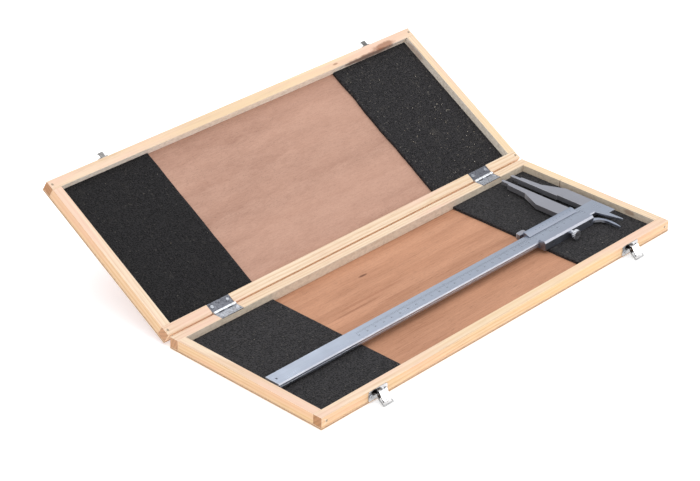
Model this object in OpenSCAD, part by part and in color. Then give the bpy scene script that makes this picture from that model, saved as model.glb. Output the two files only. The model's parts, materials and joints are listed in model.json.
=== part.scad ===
// Long-jaw vernier caliper lying in its hinged wooden case, with the lid standing open.
// Millimetres, +Z up. The origin is the middle of the tray's underside; +X runs along the
// case, +Y points to the hinges. The front of the case, with its latches, faces -Y.

/* [Case] */
// Width of the case, from the latch side to the hinge side
case_w = 170; // [160:1:220]
// Thickness of the wooden rails
rail_t = 9.2; // [8:0.1:11.5]
// Height of the tray, with its panel
tray_h = 11; // [10.6:0.1:14]
// Height of the lid, with its panel
lid_h = 11.5; // [10:0.1:16]
// Thickness of the plywood panels
panel_t = 2; // [1.6:0.1:3]
// Thickness of the foam pads
pad_t = 3; // [2:0.1:3.6]
// Length of each foam pad along the case
pad_l = 101; // [60:1:140]
// Angle at which the lid stands, counted from closed
lid_open = 149.3; // [95:0.1:160]

/* [Hinges] */
// Distance of the left hinge's middle from the left end of the case
left_hinge_in = 63; // [40:1:90]
// Distance of the right hinge's middle from the right end of the case
right_hinge_in = 55; // [40:1:90]
// Length of a hinge along its pin
hinge_l = 25; // [20:0.5:32]
// Thickness of a hinge leaf
leaf_t = 0.9; // [0.7:0.1:1]
// Outer radius of the hinge knuckles
knuckle_r = 1.5; // [1.3:0.1:1.8]
// Radius of the hinge pin
hinge_pin_r = 0.8; // [0.6:0.1:0.9]

/* [Latches] */
// Distance of the left latch's middle from the left end of the case
left_latch_in = 64; // [40:1:90]
// Distance of the right latch's middle from the right end of the case
right_latch_in = 58.5; // [40:0.5:90]
// Width of the latch plate
latch_plate_w = 22; // [20:0.5:28]
// Length of the wire bail from its pivot to its cross bar
bail_l = 8; // [7.6:0.1:9]
// Radius of the bail's wire
bail_r = 0.6; // [0.5:0.05:0.7]
// How far the lever stands out from its closed position
lever_out = 35; // [20:1:38]

/* [Caliper] */
// Longest size that the jaws can measure
range_l = 300; // [200:10:400]
// Width of the beam
beam_w = 15.9; // [14:0.1:20]
// Thickness of the beam and of the long jaws
beam_t = 4.8; // [4:0.1:5.2]
// Reach of the long jaws beyond the beam
jaw_l = 82.5; // [60:0.5:90]
// Width of a long jaw's measuring blade
blade_w = 6.6; // [6:0.1:9]
// Width of the nib at a long jaw's tip
nib_w = 3.4; // [3:0.1:4.2]
// Length of that nib
nib_l = 9; // [7:0.1:12]
// Width of the fixed jaw's head
head_w = 17; // [15:0.1:21]
// Width of the sliding jaw at its root
root_w = 16.3; // [14:0.1:20]
// Length of the slider along the beam
slider_l = 69.3; // [66:0.1:90]
// How far the jaws stand apart
jaw_open = 10.4; // [5:0.1:40]
// Diameter of the clamp screw's knob
knob_d = 9; // [7:0.1:9.2]

/* [Hidden] */
$fn = 48;
bite = 0.5;            // how far a cutter runs past the face that it cuts

// --- fits
pilot_play = 0.02;     // a fastener in its own hole
run_play = 0.05;       // a pin that turns in a bore
slide_play = 0.12;     // the slider on the beam
lay_gap = 0.3;         // under the slider, over the foam

// --- case
end_gap = 1.6;         // beam's end to the left rail
head_gap = 9.6;        // fixed jaw's head to the right rail
jaw_gap = 6.4;         // jaw tips to the back rail
tail_l = 37.1;         // beam that stays free behind the slider, jaws fully open
beam_l = range_l + slider_l + tail_l;
inner_l = end_gap + beam_l + head_w + head_gap;
inner_w = case_w - 2 * rail_t;
case_l = inner_l + 2 * rail_t;
tray_rail_h = tray_h - panel_t;
lid_rail_h = lid_h - panel_t;
pad_top = panel_t + pad_t;

// --- nails
nail_r = 0.6;
nail_head_r = 1.1;
nail_head_t = 0.5;
corner_nail_l = 18;
corner_nail_in = 5.8;  // corner nails to the case's ends
panel_nail_l = 7;
rim_nail_in = 3;       // nails through the lid's rim to the case's ends, clear of the corner nails
rim_nail_past = 1;     // how far they go into the panel
end_nail_in = 22;      // outer panel nails in a long rail to the case's ends, clear of the hardware
nails_between = 3;     // panel nails between those two
nails_across = 2;      // panel nails in a short rail

// --- hinges
pin_back = 0.9;                                // pin's axis behind the back rails
pin_y = case_w / 2 + pin_back;
knuckle_room = 0.25;                           // round the knuckles, to wood and leaves
leaf_w = rail_t - 0.2;
leaf_end = pin_y - knuckle_r - knuckle_room;   // leaves stop here, short of the knuckles
leaf_sink = leaf_t + 0.2;                      // depth of the mortise
knuckles = 5;
knuckle_gap = 0.3;
left_hinge_x = left_hinge_in - case_l / 2;
right_hinge_x = case_l / 2 - right_hinge_in;
screw_r = 0.75;
screw_head_r = 1.7;
screw_head_t = 0.8;
hinge_screw_l = 6;
hinge_screw_dx = 0.36 * hinge_l;
hinge_screw_in = 5.5;                          // screws to the rail's outer face

// --- latches, each drawn about its own middle: out = distance in front of the case
plate_t = 0.8;
plate_z0 = 1.5;
plate_z1 = tray_h - 0.4;
latch_screw_dx = latch_plate_w / 2 - 2.4;
latch_screw_l = 7;
latch_screw_z = plate_z0 + 4.5;
ear_x = 2.6;                                   // inner face of each ear
ear_t = 0.8;
ear_r = 1.3;
latch_pin_r = 0.6;
lever_out_at = 4.4;                            // lever's pivot in front of the case
lever_z = tray_h - 3;                          // lever's pivot height
lever_w = 9;
lever_t = 0.8;
cheek_gap = 0.3;
throw = 2.9;                                   // lever pivot to bail pivot
throw_lean = 10;                               // closed, the bail pivot lies this far inside
tube_r = 1.15;
cover_off = 1.9;                               // cover plate in front of the lever's pivot
cover_up = 1.6;
cover_down = 7.2;
leg_x = lever_w / 2 + 0.4 + bail_r;            // middle of each bail leg
toe_in = 2;                                    // how far a bail toe reaches into the lever
bail_lift = 0.05;                              // cross bar above the table

// pivot of the bail on the lever, with the lever turned out by a: [out, z]
function bail_pivot(a) = [lever_out_at + throw * sin(a - throw_lean),
                          lever_z - throw * cos(a - throw_lean)];
bail_rest = bail_pivot(lever_out);
bail_drop = asin((bail_rest[1] - bail_r - bail_lift) / bail_l);
hook = [bail_pivot(0)[0], bail_pivot(0)[1] + bail_l];   // cross bar when latched
keeper_w = 11;
keeper_h = 8;
keeper_screw_dx = 3.3;
hook_w = 5;

// --- caliper: x from the fixed jaw's face, y from the beam's back edge, z from its underside
face_x = inner_l / 2 - head_gap - head_w;
back_y = inner_w / 2 - jaw_gap - jaw_l;
under_t = 1.38;
beam_z = pad_top + lay_gap + under_t + slide_play;
relief = 1.3;          // fixed jaw's root stands back from its face
blade_from = 28.4;     // where the measuring blades start
taper_from = 30.7;     // jaws narrow from here
taper_to = 50.5;       // to here
blade_thin = 1.5;      // what a blade loses on its way to the nib
nib_t = 3;             // thickness of a nib
edge_x = 8.3;          // inside edges of the short jaws to the measuring faces
tip_l = 25.5;          // fixed short jaw beyond the beam
head_down = 9.6;       // the head's own reach beyond the beam
short_l = 29;          // sliding short jaw in front of the front wall's inner face
half_t = beam_t / 2 - 0.1;                     // thickness of each crossing short jaw
cap_t = 2.3;           // slider above the beam
wall_out = 5.2;        // slider's front wall
back_out = 3.4;        // slider's back wall
gib_t = 1.2;
gib_y = -beam_w - slide_play;                  // gib strip's back face
wall_y = gib_y - gib_t - 0.08;                 // front wall's inner face
slider_front = wall_y - wall_out;
vernier_in = 1.5;      // vernier plate's end behind the sliding jaw's face
vernier_l = slider_l - vernier_in - 0.3;
vernier_reach = 4.5;   // vernier edge over the beam
lug_l = 10;
lug_out = 4.6;
lug_past = 4;          // lug beyond the slider's end
edge_cut = 1.6;        // chamfer along the slider's front edge
beam_cut = 1;          // chamfer along the beam's front edge
gib_screw_r = 1.2;
gib_screw_sink = 0.3;  // its head below the front wall's face
gib_screw_z = beam_t * 0.45;
clamp_z = knob_d / 2 + 0.35 + pad_top - beam_z;
clamp_at = 32.5;       // clamp screw behind the sliding jaw's face
clamp_r = 1.5;
knob_t = 3.3;
knob_off = 4.1;
stop_at = 4.8;         // end stop to the beam's end
stop_r = 0.9;

wood = [0.93, 0.78, 0.58];
ply = [0.80, 0.58, 0.45];
foam = [0.15, 0.15, 0.16];
zinc = [0.62, 0.64, 0.66];
nickel = [0.86, 0.87, 0.88];
steel = [0.68, 0.71, 0.77];
bright = [0.80, 0.82, 0.85];

// ---------------------------------------------------------------- helpers

module fastener(shank_r, head_r, head_t, l) {
    // a straight shank below a flat head, head's top at z = 0, pointing down
    translate([0, 0, -l]) cylinder(r = shank_r, h = l);
    translate([0, 0, -head_t]) cylinder(r = head_r, h = head_t);
}

module lid_place() {
    // from the closed lid's place to the open one
    translate([0, pin_y, tray_h]) rotate([-lid_open, 0, 0]) translate([0, -pin_y, -tray_h])
        children();
}

module mirror_up() {
    // turns a tray piece into the lid piece that closes on it
    translate([0, 0, tray_h]) mirror([0, 0, 1]) translate([0, 0, -tray_h]) children();
}

// n places along a length l, each in the middle of its share
function spread(n, l) = [for (i = [0:n - 1]) (i - (n - 1) / 2) * l / n];
function nail_xs() = concat([for (s = [-1, 1]) s * (case_l / 2 - end_nail_in)],
                            spread(nails_between, case_l * 0.6));
function nail_ys() = spread(nails_across, inner_w);

// ---------------------------------------------------------------- rails and panels

module corner_nails(h, play = 0) {
    // two nails at each end of each long rail, into the short rails; h is the rail's height
    r = nail_r + play;
    for (sx = [-1, 1], sy = [-1, 1])
        translate([sx * (case_l / 2 - corner_nail_in), sy * case_w / 2, tray_h - h / 2])
            rotate([-sy * 90, 0, 0])
                fastener(r, nail_head_r + play, nail_head_t, corner_nail_l);
}

module panel_nails(h, play = 0) {
    // from the outside of the panel up into the rails; h is the height of the box half
    r = nail_r + play;
    module nail() rotate([180, 0, 0]) fastener(r, nail_head_r + play, nail_head_t, panel_nail_l);
    for (x = nail_xs(), sy = [-1, 1])
        translate([x, sy * (case_w - rail_t) / 2, tray_h - h]) nail();
    for (y = nail_ys(), sx = [-1, 1])
        translate([sx * (case_l - rail_t) / 2, y, tray_h - h]) nail();
}

module rim_nails(play = 0) {
    // one down through each end of the lid's long rails, into the panel
    for (sx = [-1, 1], sy = [-1, 1])
        translate([sx * (case_l / 2 - rim_nail_in), sy * (case_w - rail_t) / 2, tray_h])
            fastener(nail_r + play, nail_head_r + play, nail_head_t, lid_rail_h + rim_nail_past);
}

module long_rail(side, rail_h, half_h) {
    difference() {
        translate([-case_l / 2, side > 0 ? case_w / 2 - rail_t : -case_w / 2, tray_h - rail_h])
            cube([case_l, rail_t, rail_h]);
        corner_nails(rail_h, pilot_play);
        panel_nails(half_h, pilot_play);
    }
}

module short_rail(side, rail_h, half_h) {
    difference() {
        translate([side > 0 ? case_l / 2 - rail_t : -case_l / 2, -inner_w / 2, tray_h - rail_h])
            cube([rail_t, inner_w, rail_h]);
        corner_nails(rail_h, pilot_play);
        panel_nails(half_h, pilot_play);
    }
}

module panel(half_h) {
    difference() {
        translate([-case_l / 2, -case_w / 2, tray_h - half_h]) cube([case_l, case_w, panel_t]);
        panel_nails(half_h, pilot_play);
    }
}

module pad(side, half_h) {
    translate([side > 0 ? inner_l / 2 - pad_l : -inner_l / 2, -inner_w / 2,
               tray_h - half_h + panel_t])
        cube([pad_l, inner_w, pad_t]);
}

// ---------------------------------------------------------------- hinges, tray side

module mortise(x) {
    // across the whole rim for the leaf, and deeper at the back for the knuckles
    notch_z = knuckle_r + knuckle_room;
    translate([x - hinge_l / 2 - 0.2, case_w / 2 - rail_t - bite, tray_h - leaf_sink])
        cube([hinge_l + 0.4, rail_t + 2 * bite, leaf_sink + bite]);
    translate([x - hinge_l / 2 - 0.6, leaf_end, tray_h - notch_z])
        cube([hinge_l + 1.2, case_w / 2 - leaf_end + bite, notch_z + bite]);
}

module hinge_screws_at(x, play = 0) {
    for (s = [-1, 1])
        translate([x + s * hinge_screw_dx, case_w / 2 - hinge_screw_in, tray_h - leaf_sink + leaf_t])
            fastener(screw_r + play, screw_head_r + play, screw_head_t, hinge_screw_l);
}

module leaf(x, first) {
    // knuckles first, first + 2 ... belong to this leaf
    pitch = hinge_l / knuckles;
    bore = hinge_pin_r + (first == 0 ? pilot_play : run_play);
    difference() {
        union() {
            translate([x - hinge_l / 2, case_w / 2 - leaf_w, tray_h - leaf_sink])
                cube([hinge_l, leaf_end - case_w / 2 + leaf_w, leaf_t]);
            for (i = [first:2:knuckles - 1])
                translate([x - hinge_l / 2 + i * pitch + knuckle_gap / 2, pin_y, tray_h]) {
                    rotate([0, 90, 0]) cylinder(r = knuckle_r, h = pitch - knuckle_gap);
                    translate([0, leaf_end - pin_y - bite, -leaf_sink])
                        cube([pitch - knuckle_gap, knuckle_r + knuckle_room, leaf_t]);
                }
        }
        translate([x - hinge_l / 2 - bite, pin_y, tray_h])
            rotate([0, 90, 0]) cylinder(r = bore, h = hinge_l + 2 * bite);
        hinge_screws_at(x, pilot_play);
    }
}

module hinge_pin(x) {
    translate([x - hinge_l / 2 - 0.4, pin_y, tray_h])
        rotate([0, 90, 0]) cylinder(r = hinge_pin_r, h = hinge_l + 0.8);
}

// ---------------------------------------------------------------- latches

module at_front(side) {
    // at one latch: child's y is the distance in front of the case, z the height
    x = side < 0 ? left_latch_in - case_l / 2 : case_l / 2 - right_latch_in;
    translate([x, -case_w / 2, 0]) mirror([0, 1, 0]) children();
}

module cross_rod(out_z, r, w) {
    // a rod along X through [out, z], centred
    translate([-w / 2, out_z[0], out_z[1]]) rotate([0, 90, 0]) cylinder(r = r, h = w);
}

module latch_screws_at(play = 0) {
    for (s = [-1, 1])
        translate([s * latch_screw_dx, plate_t + screw_head_t, latch_screw_z])
            rotate([-90, 0, 0])
                fastener(screw_r + play, screw_head_r + play, screw_head_t, latch_screw_l);
}

module round_plate(w, z0, z1, t) {
    // an upright plate with round corners
    r = 1.6;
    rotate([-90, 0, 0]) mirror([0, 1, 0]) linear_extrude(t) union() {
        translate([-w / 2 + r, z0]) square([w - 2 * r, z1 - z0]);
        translate([-w / 2, z0 + r]) square([w, z1 - z0 - 2 * r]);
        for (x = [-w / 2 + r, w / 2 - r], z = [z0 + r, z1 - r]) translate([x, z]) circle(r);
    }
}

module latch_plate() {
    difference() {
        union() {
            round_plate(latch_plate_w, plate_z0, plate_z1, plate_t);
            for (s = [-1, 1])
                translate([s > 0 ? ear_x : -ear_x - ear_t, 0, 0]) {
                    translate([0, lever_out_at, lever_z]) rotate([0, 90, 0])
                        cylinder(r = ear_r, h = ear_t);
                    translate([0, plate_t / 2, lever_z - ear_r])
                        cube([ear_t, lever_out_at - plate_t / 2, 2 * ear_r]);
                }
        }
        cross_rod([lever_out_at, lever_z], latch_pin_r + pilot_play, lever_w);
        latch_screws_at(pilot_play);
    }
}

module latch_pin() {
    cross_rod([lever_out_at, lever_z], latch_pin_r, lever_w);
}

module lever_turn() {
    // from the closed lever to the one that stands out
    translate([0, lever_out_at, lever_z]) rotate([lever_out, 0, 0])
        translate([0, -lever_out_at, -lever_z]) children();
}

module latch_lever() {
    shut = bail_pivot(0);
    cheek_x = ear_x + ear_t + cheek_gap;
    cheek_t = lever_w / 2 - cheek_x;
    lever_turn() difference() {
        union() {
            for (s = [-1, 1])
                translate([s > 0 ? cheek_x : -cheek_x - cheek_t, 0, 0]) {
                    hull() {
                        translate([0, lever_out_at, lever_z]) rotate([0, 90, 0])
                            cylinder(r = ear_r, h = cheek_t, $fn = 32);
                        translate([0, shut[0], shut[1]]) rotate([0, 90, 0])
                            cylinder(r = tube_r, h = cheek_t, $fn = 32);
                    }
                    translate([0, shut[0], shut[1]])
                        cube([cheek_t, lever_out_at + cover_off + lever_t / 2 - shut[0],
                              lever_z + ear_r - shut[1]]);
                }
            cross_rod(shut, tube_r, lever_w);
            translate([-lever_w / 2, lever_out_at + cover_off, lever_z - cover_down])
                cube([lever_w, lever_t, cover_down + cover_up]);
            // curled end that a finger catches
            translate([0, lever_out_at + cover_off + lever_t, lever_z - cover_down])
                cross_rod([0, 0], lever_t, lever_w);
        }
        cross_rod([lever_out_at, lever_z], latch_pin_r + run_play, lever_w + 2);
        cross_rod(shut, bail_r + run_play, lever_w + 2);
    }
}

module latch_bail() {
    // wire bail: two legs, a cross bar, and a toe on each leg that turns in the lever
    translate([0, bail_rest[0], bail_rest[1]]) rotate([-bail_drop, 0, 0]) {
        for (s = [-1, 1]) {
            translate([s * leg_x, 0, 0]) rotate([-90, 0, 0]) cylinder(r = bail_r, h = bail_l);
            translate([s * leg_x, 0, 0]) sphere(r = bail_r);
            translate([s * leg_x, bail_l, 0]) sphere(r = bail_r);
            translate([s > 0 ? lever_w / 2 - toe_in : -leg_x, 0, 0]) rotate([0, 90, 0])
                cylinder(r = bail_r, h = leg_x - lever_w / 2 + toe_in);
        }
        translate([-leg_x, bail_l, 0]) rotate([0, 90, 0]) cylinder(r = bail_r, h = 2 * leg_x);
    }
}

module keeper_screws_at(play = 0) {
    for (s = [-1, 1])
        translate([s * keeper_screw_dx, plate_t + screw_head_t, hook[1] + 3.6])
            rotate([-90, 0, 0])
                fastener(screw_r + play, screw_head_r + play, screw_head_t, latch_screw_l);
}

module keeper() {
    // drawn on the closed lid: a plate whose lower edge turns out and up round the cross bar
    lip_out = hook[0] + bail_r + 0.35;
    floor_z = hook[1] - bail_r - 0.35;
    difference() {
        union() {
            round_plate(keeper_w, floor_z - plate_t, floor_z - plate_t + keeper_h, plate_t);
            translate([-hook_w / 2, plate_t / 2, floor_z - plate_t])
                cube([hook_w, lip_out + plate_t / 2, plate_t]);
            translate([-hook_w / 2, lip_out, floor_z - plate_t])
                cube([hook_w, plate_t, plate_t + 1.8 * bail_r]);
        }
        keeper_screws_at(pilot_play);
    }
}

// ---------------------------------------------------------------- caliper

module caliper_place() {
    translate([face_x, back_y, beam_z]) children();
}

// one long jaw, measuring face on x = 0, body towards +x; its nib is thinner than the blade
module long_jaw(root, cut_back, y0) {
    tip_y = jaw_l - nib_l;
    face = cut_back > 0
        ? [[cut_back, y0], [cut_back, blade_from], [0, blade_from], [0, tip_y]]
        : [[0, y0], [0, tip_y]];
    linear_extrude(beam_t) polygon(concat(
        face,
        [[blade_w - blade_thin, tip_y], [blade_w, taper_to + 2],
         [blade_w + 0.6, taper_to], [root, taper_from], [root, y0]]
    ));
    translate([0, 0, beam_t - nib_t]) linear_extrude(nib_t)
        polygon([[0, tip_y - bite], [0, jaw_l], [nib_w - 1, jaw_l], [nib_w, jaw_l - 1],
                 [nib_w, tip_y - bite]]);
}

module beam_solid() {
    front = -beam_w;
    difference() {
        union() {
            translate([-beam_l, 0, 0]) rotate([90, 0, 90]) linear_extrude(beam_l + head_w)
                polygon([[front, 0], [0, 0], [0, beam_t], [front + beam_cut, beam_t],
                         [front, beam_t - beam_cut]]);
            long_jaw(head_w, relief, -bite);
            // fixed short jaw: an upper half blade whose right edge is its measuring edge
            translate([0, 0, beam_t - half_t]) linear_extrude(half_t)
                polygon([[0.5, front + 2 * bite], [0.5, front - 2], [edge_x - 0.8, front - tip_l],
                         [edge_x, front - tip_l], [edge_x, front - head_down],
                         [head_w, front - head_down], [head_w, front + 2 * bite]]);
        }
        // groove along the front edge
        translate([-beam_l - bite, front - bite, beam_t * 0.42])
            cube([beam_l - 2, bite + 0.4, 0.7]);
        translate([-beam_l + stop_at, front / 2, -bite])
            cylinder(r = stop_r + pilot_play, h = beam_t + 2 * bite);
    }
}

module end_stop_solid() {
    // screwed up from below, so that the slider can't run off; its head rests on the foam
    head_t = beam_z - pad_top - 0.1;
    translate([-beam_l + stop_at, -beam_w / 2, 0]) {
        translate([0, 0, -head_t]) cylinder(r = 2.1, h = head_t);
        cylinder(r = stop_r, h = beam_t / 2);
    }
}

module slider_solid() {
    top = beam_t + cap_t;
    deck = beam_t + slide_play;
    x1 = -jaw_open;
    x0 = x1 - slider_l;
    difference() {
        union() {
            // channel round the beam, its profile drawn as [y, z]
            translate([x0, 0, 0]) rotate([90, 0, 90]) linear_extrude(slider_l)
                polygon([[slider_front, -under_t - slide_play], [back_out, -under_t - slide_play],
                         [back_out, deck], [slide_play, deck], [slide_play, -slide_play],
                         [wall_y, -slide_play], [wall_y, deck], [-beam_w + 1.3, deck],
                         [-beam_w + 1.3, deck + 0.7], [-beam_w + 0.7, top],
                         [slider_front + edge_cut, top], [slider_front, top - edge_cut]]);
            // long sliding jaw
            translate([x1, 0, 0]) mirror([1, 0, 0]) long_jaw(root_w, 0, back_out - bite);
            // short sliding jaw: a lower half blade that passes under the fixed one
            linear_extrude(half_t)
                polygon([[x1 - 6, wall_y], [x1 - bite, wall_y], [x1 + bite, wall_y - 0.4],
                         [x1 + 4, wall_y - 1.6], [x1 + edge_x - 0.5, wall_y - 5],
                         [x1 + edge_x + 2.2, wall_y - 11], [x1 + edge_x + 2.9, wall_y - 17],
                         [x1 + edge_x + 2.4, wall_y - 23], [x1 + edge_x + 0.7, wall_y - short_l],
                         [x1 + edge_x, wall_y - short_l], [x1 + edge_x, wall_y - 14],
                         [x1 + edge_x - 2.3, wall_y - 8.6], [x1 + 1.5, slider_front - 0.5],
                         [x1 - 2, slider_front], [x1 - 6, slider_front]]);
            // thumb lug
            translate([x0 - lug_past, back_out - 0.2, 0.4]) linear_extrude(beam_t + 0.4) union() {
                square([lug_l, bite + lug_out - 2]);
                translate([2, 0]) square([lug_l - 4, bite + lug_out]);
                translate([2, bite + lug_out - 2]) circle(2);
                translate([lug_l - 2, bite + lug_out - 2]) circle(2);
            }
        }
        gib_screws_at(gib_screw_r + pilot_play, slider_front - bite);
        translate([x1 - clamp_at, slider_front - bite, clamp_z]) rotate([-90, 0, 0])
            cylinder(r = clamp_r + run_play, h = wall_out + 2 * bite);
    }
}

module gib_screws_at(r, y0) {
    // two small screws through the front wall that press on the gib strip
    for (back = [5, slider_l - 12.3])
        translate([-jaw_open - back, y0, gib_screw_z]) rotate([-90, 0, 0])
            cylinder(r = r, h = wall_y - y0);
}

module vernier_solid() {
    deck = beam_t + slide_play;
    top = beam_t + cap_t;
    translate([-jaw_open - vernier_in - vernier_l, 0, 0]) rotate([90, 0, 90])
        linear_extrude(vernier_l)
        polygon([[back_out - 0.3, deck], [back_out - 0.3, top], [back_out - 2.6, top],
                 [-vernier_reach, deck + 0.35], [-vernier_reach, deck]]);
}

module gib_solid() {
    translate([-jaw_open - slider_l + 1, gib_y - gib_t, 0.1])
        cube([slider_l - 2, gib_t, beam_t - 0.2]);
}

module clamp_solid() {
    // shank through the front wall, a neck, and a knob with finger notches round its rim
    tip_y = wall_y - 0.05;
    knob_y = slider_front - knob_off;
    notches = 16;
    translate([-jaw_open - clamp_at, 0, clamp_z]) rotate([90, 0, 0]) {
        translate([0, 0, -tip_y]) cylinder(r = clamp_r, h = tip_y - knob_y);
        translate([0, 0, -slider_front + 0.15]) cylinder(r = 2.4, h = knob_off - 0.15);
        translate([0, 0, -knob_y]) difference() {
            cylinder(d = knob_d, h = knob_t);
            for (i = [0:notches - 1]) rotate([0, 0, i * 360 / notches])
                translate([knob_d / 2 + 0.25, 0, -bite]) cylinder(r = 0.55, h = knob_t + 2 * bite);
        }
    }
}

// ---------------------------------------------------------------- nodes

module tray_front_rail() {
    color(wood) difference() {
        long_rail(-1, tray_rail_h, tray_h);
        for (s = [-1, 1]) at_front(s) latch_screws_at(pilot_play);
    }
}
module tray_back_rail() {
    color(wood) difference() {
        long_rail(1, tray_rail_h, tray_h);
        for (x = [left_hinge_x, right_hinge_x]) {
            mortise(x);
            hinge_screws_at(x, pilot_play);
        }
    }
}
module tray_left_rail() { color(wood) short_rail(-1, tray_rail_h, tray_h); }
module tray_right_rail() { color(wood) short_rail(1, tray_rail_h, tray_h); }
module tray_panel() { color(ply) panel(tray_h); }
module tray_left_pad() { color(foam) pad(-1, tray_h); }
module tray_right_pad() { color(foam) pad(1, tray_h); }
module tray_corner_nails() { color(zinc) corner_nails(tray_rail_h); }
module tray_panel_nails() { color(zinc) panel_nails(tray_h); }
module left_hinge_tray_leaf() { color(zinc) leaf(left_hinge_x, 0); }
module right_hinge_tray_leaf() { color(zinc) leaf(right_hinge_x, 0); }
module left_hinge_pin() { color(bright) hinge_pin(left_hinge_x); }
module right_hinge_pin() { color(bright) hinge_pin(right_hinge_x); }
module tray_hinge_screws() {
    color(bright) for (x = [left_hinge_x, right_hinge_x]) hinge_screws_at(x);
}
module left_latch_plate() { color(nickel) at_front(-1) latch_plate(); }
module right_latch_plate() { color(nickel) at_front(1) latch_plate(); }
module left_latch_pin() { color(nickel) at_front(-1) latch_pin(); }
module right_latch_pin() { color(nickel) at_front(1) latch_pin(); }
module latch_screws() { color(bright) for (s = [-1, 1]) at_front(s) latch_screws_at(); }
module left_latch_lever() { color(nickel) at_front(-1) latch_lever(); }
module right_latch_lever() { color(nickel) at_front(1) latch_lever(); }
module left_latch_bail() { color(bright) at_front(-1) latch_bail(); }
module right_latch_bail() { color(bright) at_front(1) latch_bail(); }

module lid_front_rail() {
    color(wood) lid_place() difference() {
        mirror_up() difference() {
            long_rail(-1, lid_rail_h, lid_h);
            rim_nails(pilot_play);
        }
        for (s = [-1, 1]) at_front(s) keeper_screws_at(pilot_play);
    }
}
module lid_back_rail() {
    color(wood) lid_place() mirror_up() difference() {
        long_rail(1, lid_rail_h, lid_h);
        rim_nails(pilot_play);
        for (x = [left_hinge_x, right_hinge_x]) {
            mortise(x);
            hinge_screws_at(x, pilot_play);
        }
    }
}
module lid_left_rail() { color(wood) lid_place() mirror_up() short_rail(-1, lid_rail_h, lid_h); }
module lid_right_rail() { color(wood) lid_place() mirror_up() short_rail(1, lid_rail_h, lid_h); }
module lid_panel() {
    color(ply) lid_place() mirror_up() difference() {
        panel(lid_h);
        rim_nails(pilot_play);
    }
}
module lid_left_pad() { color(foam) lid_place() mirror_up() pad(-1, lid_h); }
module lid_right_pad() { color(foam) lid_place() mirror_up() pad(1, lid_h); }
module lid_corner_nails() { color(zinc) lid_place() mirror_up() corner_nails(lid_rail_h); }
module lid_rim_nails() { color(zinc) lid_place() mirror_up() rim_nails(); }
module lid_panel_nails() { color(zinc) lid_place() mirror_up() panel_nails(lid_h); }
module left_hinge_lid_leaf() { color(zinc) lid_place() mirror_up() leaf(left_hinge_x, 1); }
module right_hinge_lid_leaf() { color(zinc) lid_place() mirror_up() leaf(right_hinge_x, 1); }
module lid_hinge_screws() {
    color(bright) lid_place() mirror_up() for (x = [left_hinge_x, right_hinge_x]) hinge_screws_at(x);
}
module left_keeper() { color(nickel) lid_place() at_front(-1) keeper(); }
module right_keeper() { color(nickel) lid_place() at_front(1) keeper(); }
module keeper_screws() {
    color(bright) lid_place() for (s = [-1, 1]) at_front(s) keeper_screws_at();
}

module caliper_beam() { color(steel) caliper_place() beam_solid(); }
module beam_end_stop() { color(bright) caliper_place() end_stop_solid(); }
module slider_frame() { color(steel) caliper_place() slider_solid(); }
module vernier_plate() { color(steel) caliper_place() vernier_solid(); }
module gib_strip() { color(bright) caliper_place() gib_solid(); }
module gib_screws() {
    color(bright) caliper_place() gib_screws_at(gib_screw_r, slider_front + gib_screw_sink);
}
module clamp_screw() { color(bright) caliper_place() clamp_solid(); }

tray_front_rail();
tray_back_rail();
tray_left_rail();
tray_right_rail();
tray_panel();
tray_left_pad();
tray_right_pad();
tray_corner_nails();
tray_panel_nails();
left_hinge_tray_leaf();
right_hinge_tray_leaf();
left_hinge_pin();
right_hinge_pin();
tray_hinge_screws();
left_latch_plate();
right_latch_plate();
left_latch_pin();
right_latch_pin();
latch_screws();
left_latch_lever();
right_latch_lever();
left_latch_bail();
right_latch_bail();
lid_front_rail();
lid_back_rail();
lid_left_rail();
lid_right_rail();
lid_panel();
lid_left_pad();
lid_right_pad();
lid_corner_nails();
lid_rim_nails();
lid_panel_nails();
left_hinge_lid_leaf();
right_hinge_lid_leaf();
lid_hinge_screws();
left_keeper();
right_keeper();
keeper_screws();
caliper_beam();
beam_end_stop();
slider_frame();
vernier_plate();
gib_strip();
gib_screws();
clamp_screw();
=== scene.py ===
# %% [markdown]
# # A long-jaw vernier caliper in its wooden case
# The case is two shallow pine frames with plywood panels, joined by two butt hinges. Charcoal
# foam pads lie in both ends of each half, and a 300 mm caliper lies across the pads of the tray.
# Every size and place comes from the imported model, so this file only decides how things look.

import json
import math
import random
from functools import partialmethod

import bmesh
import bpy
from mathutils import Matrix, Vector, noise

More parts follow.
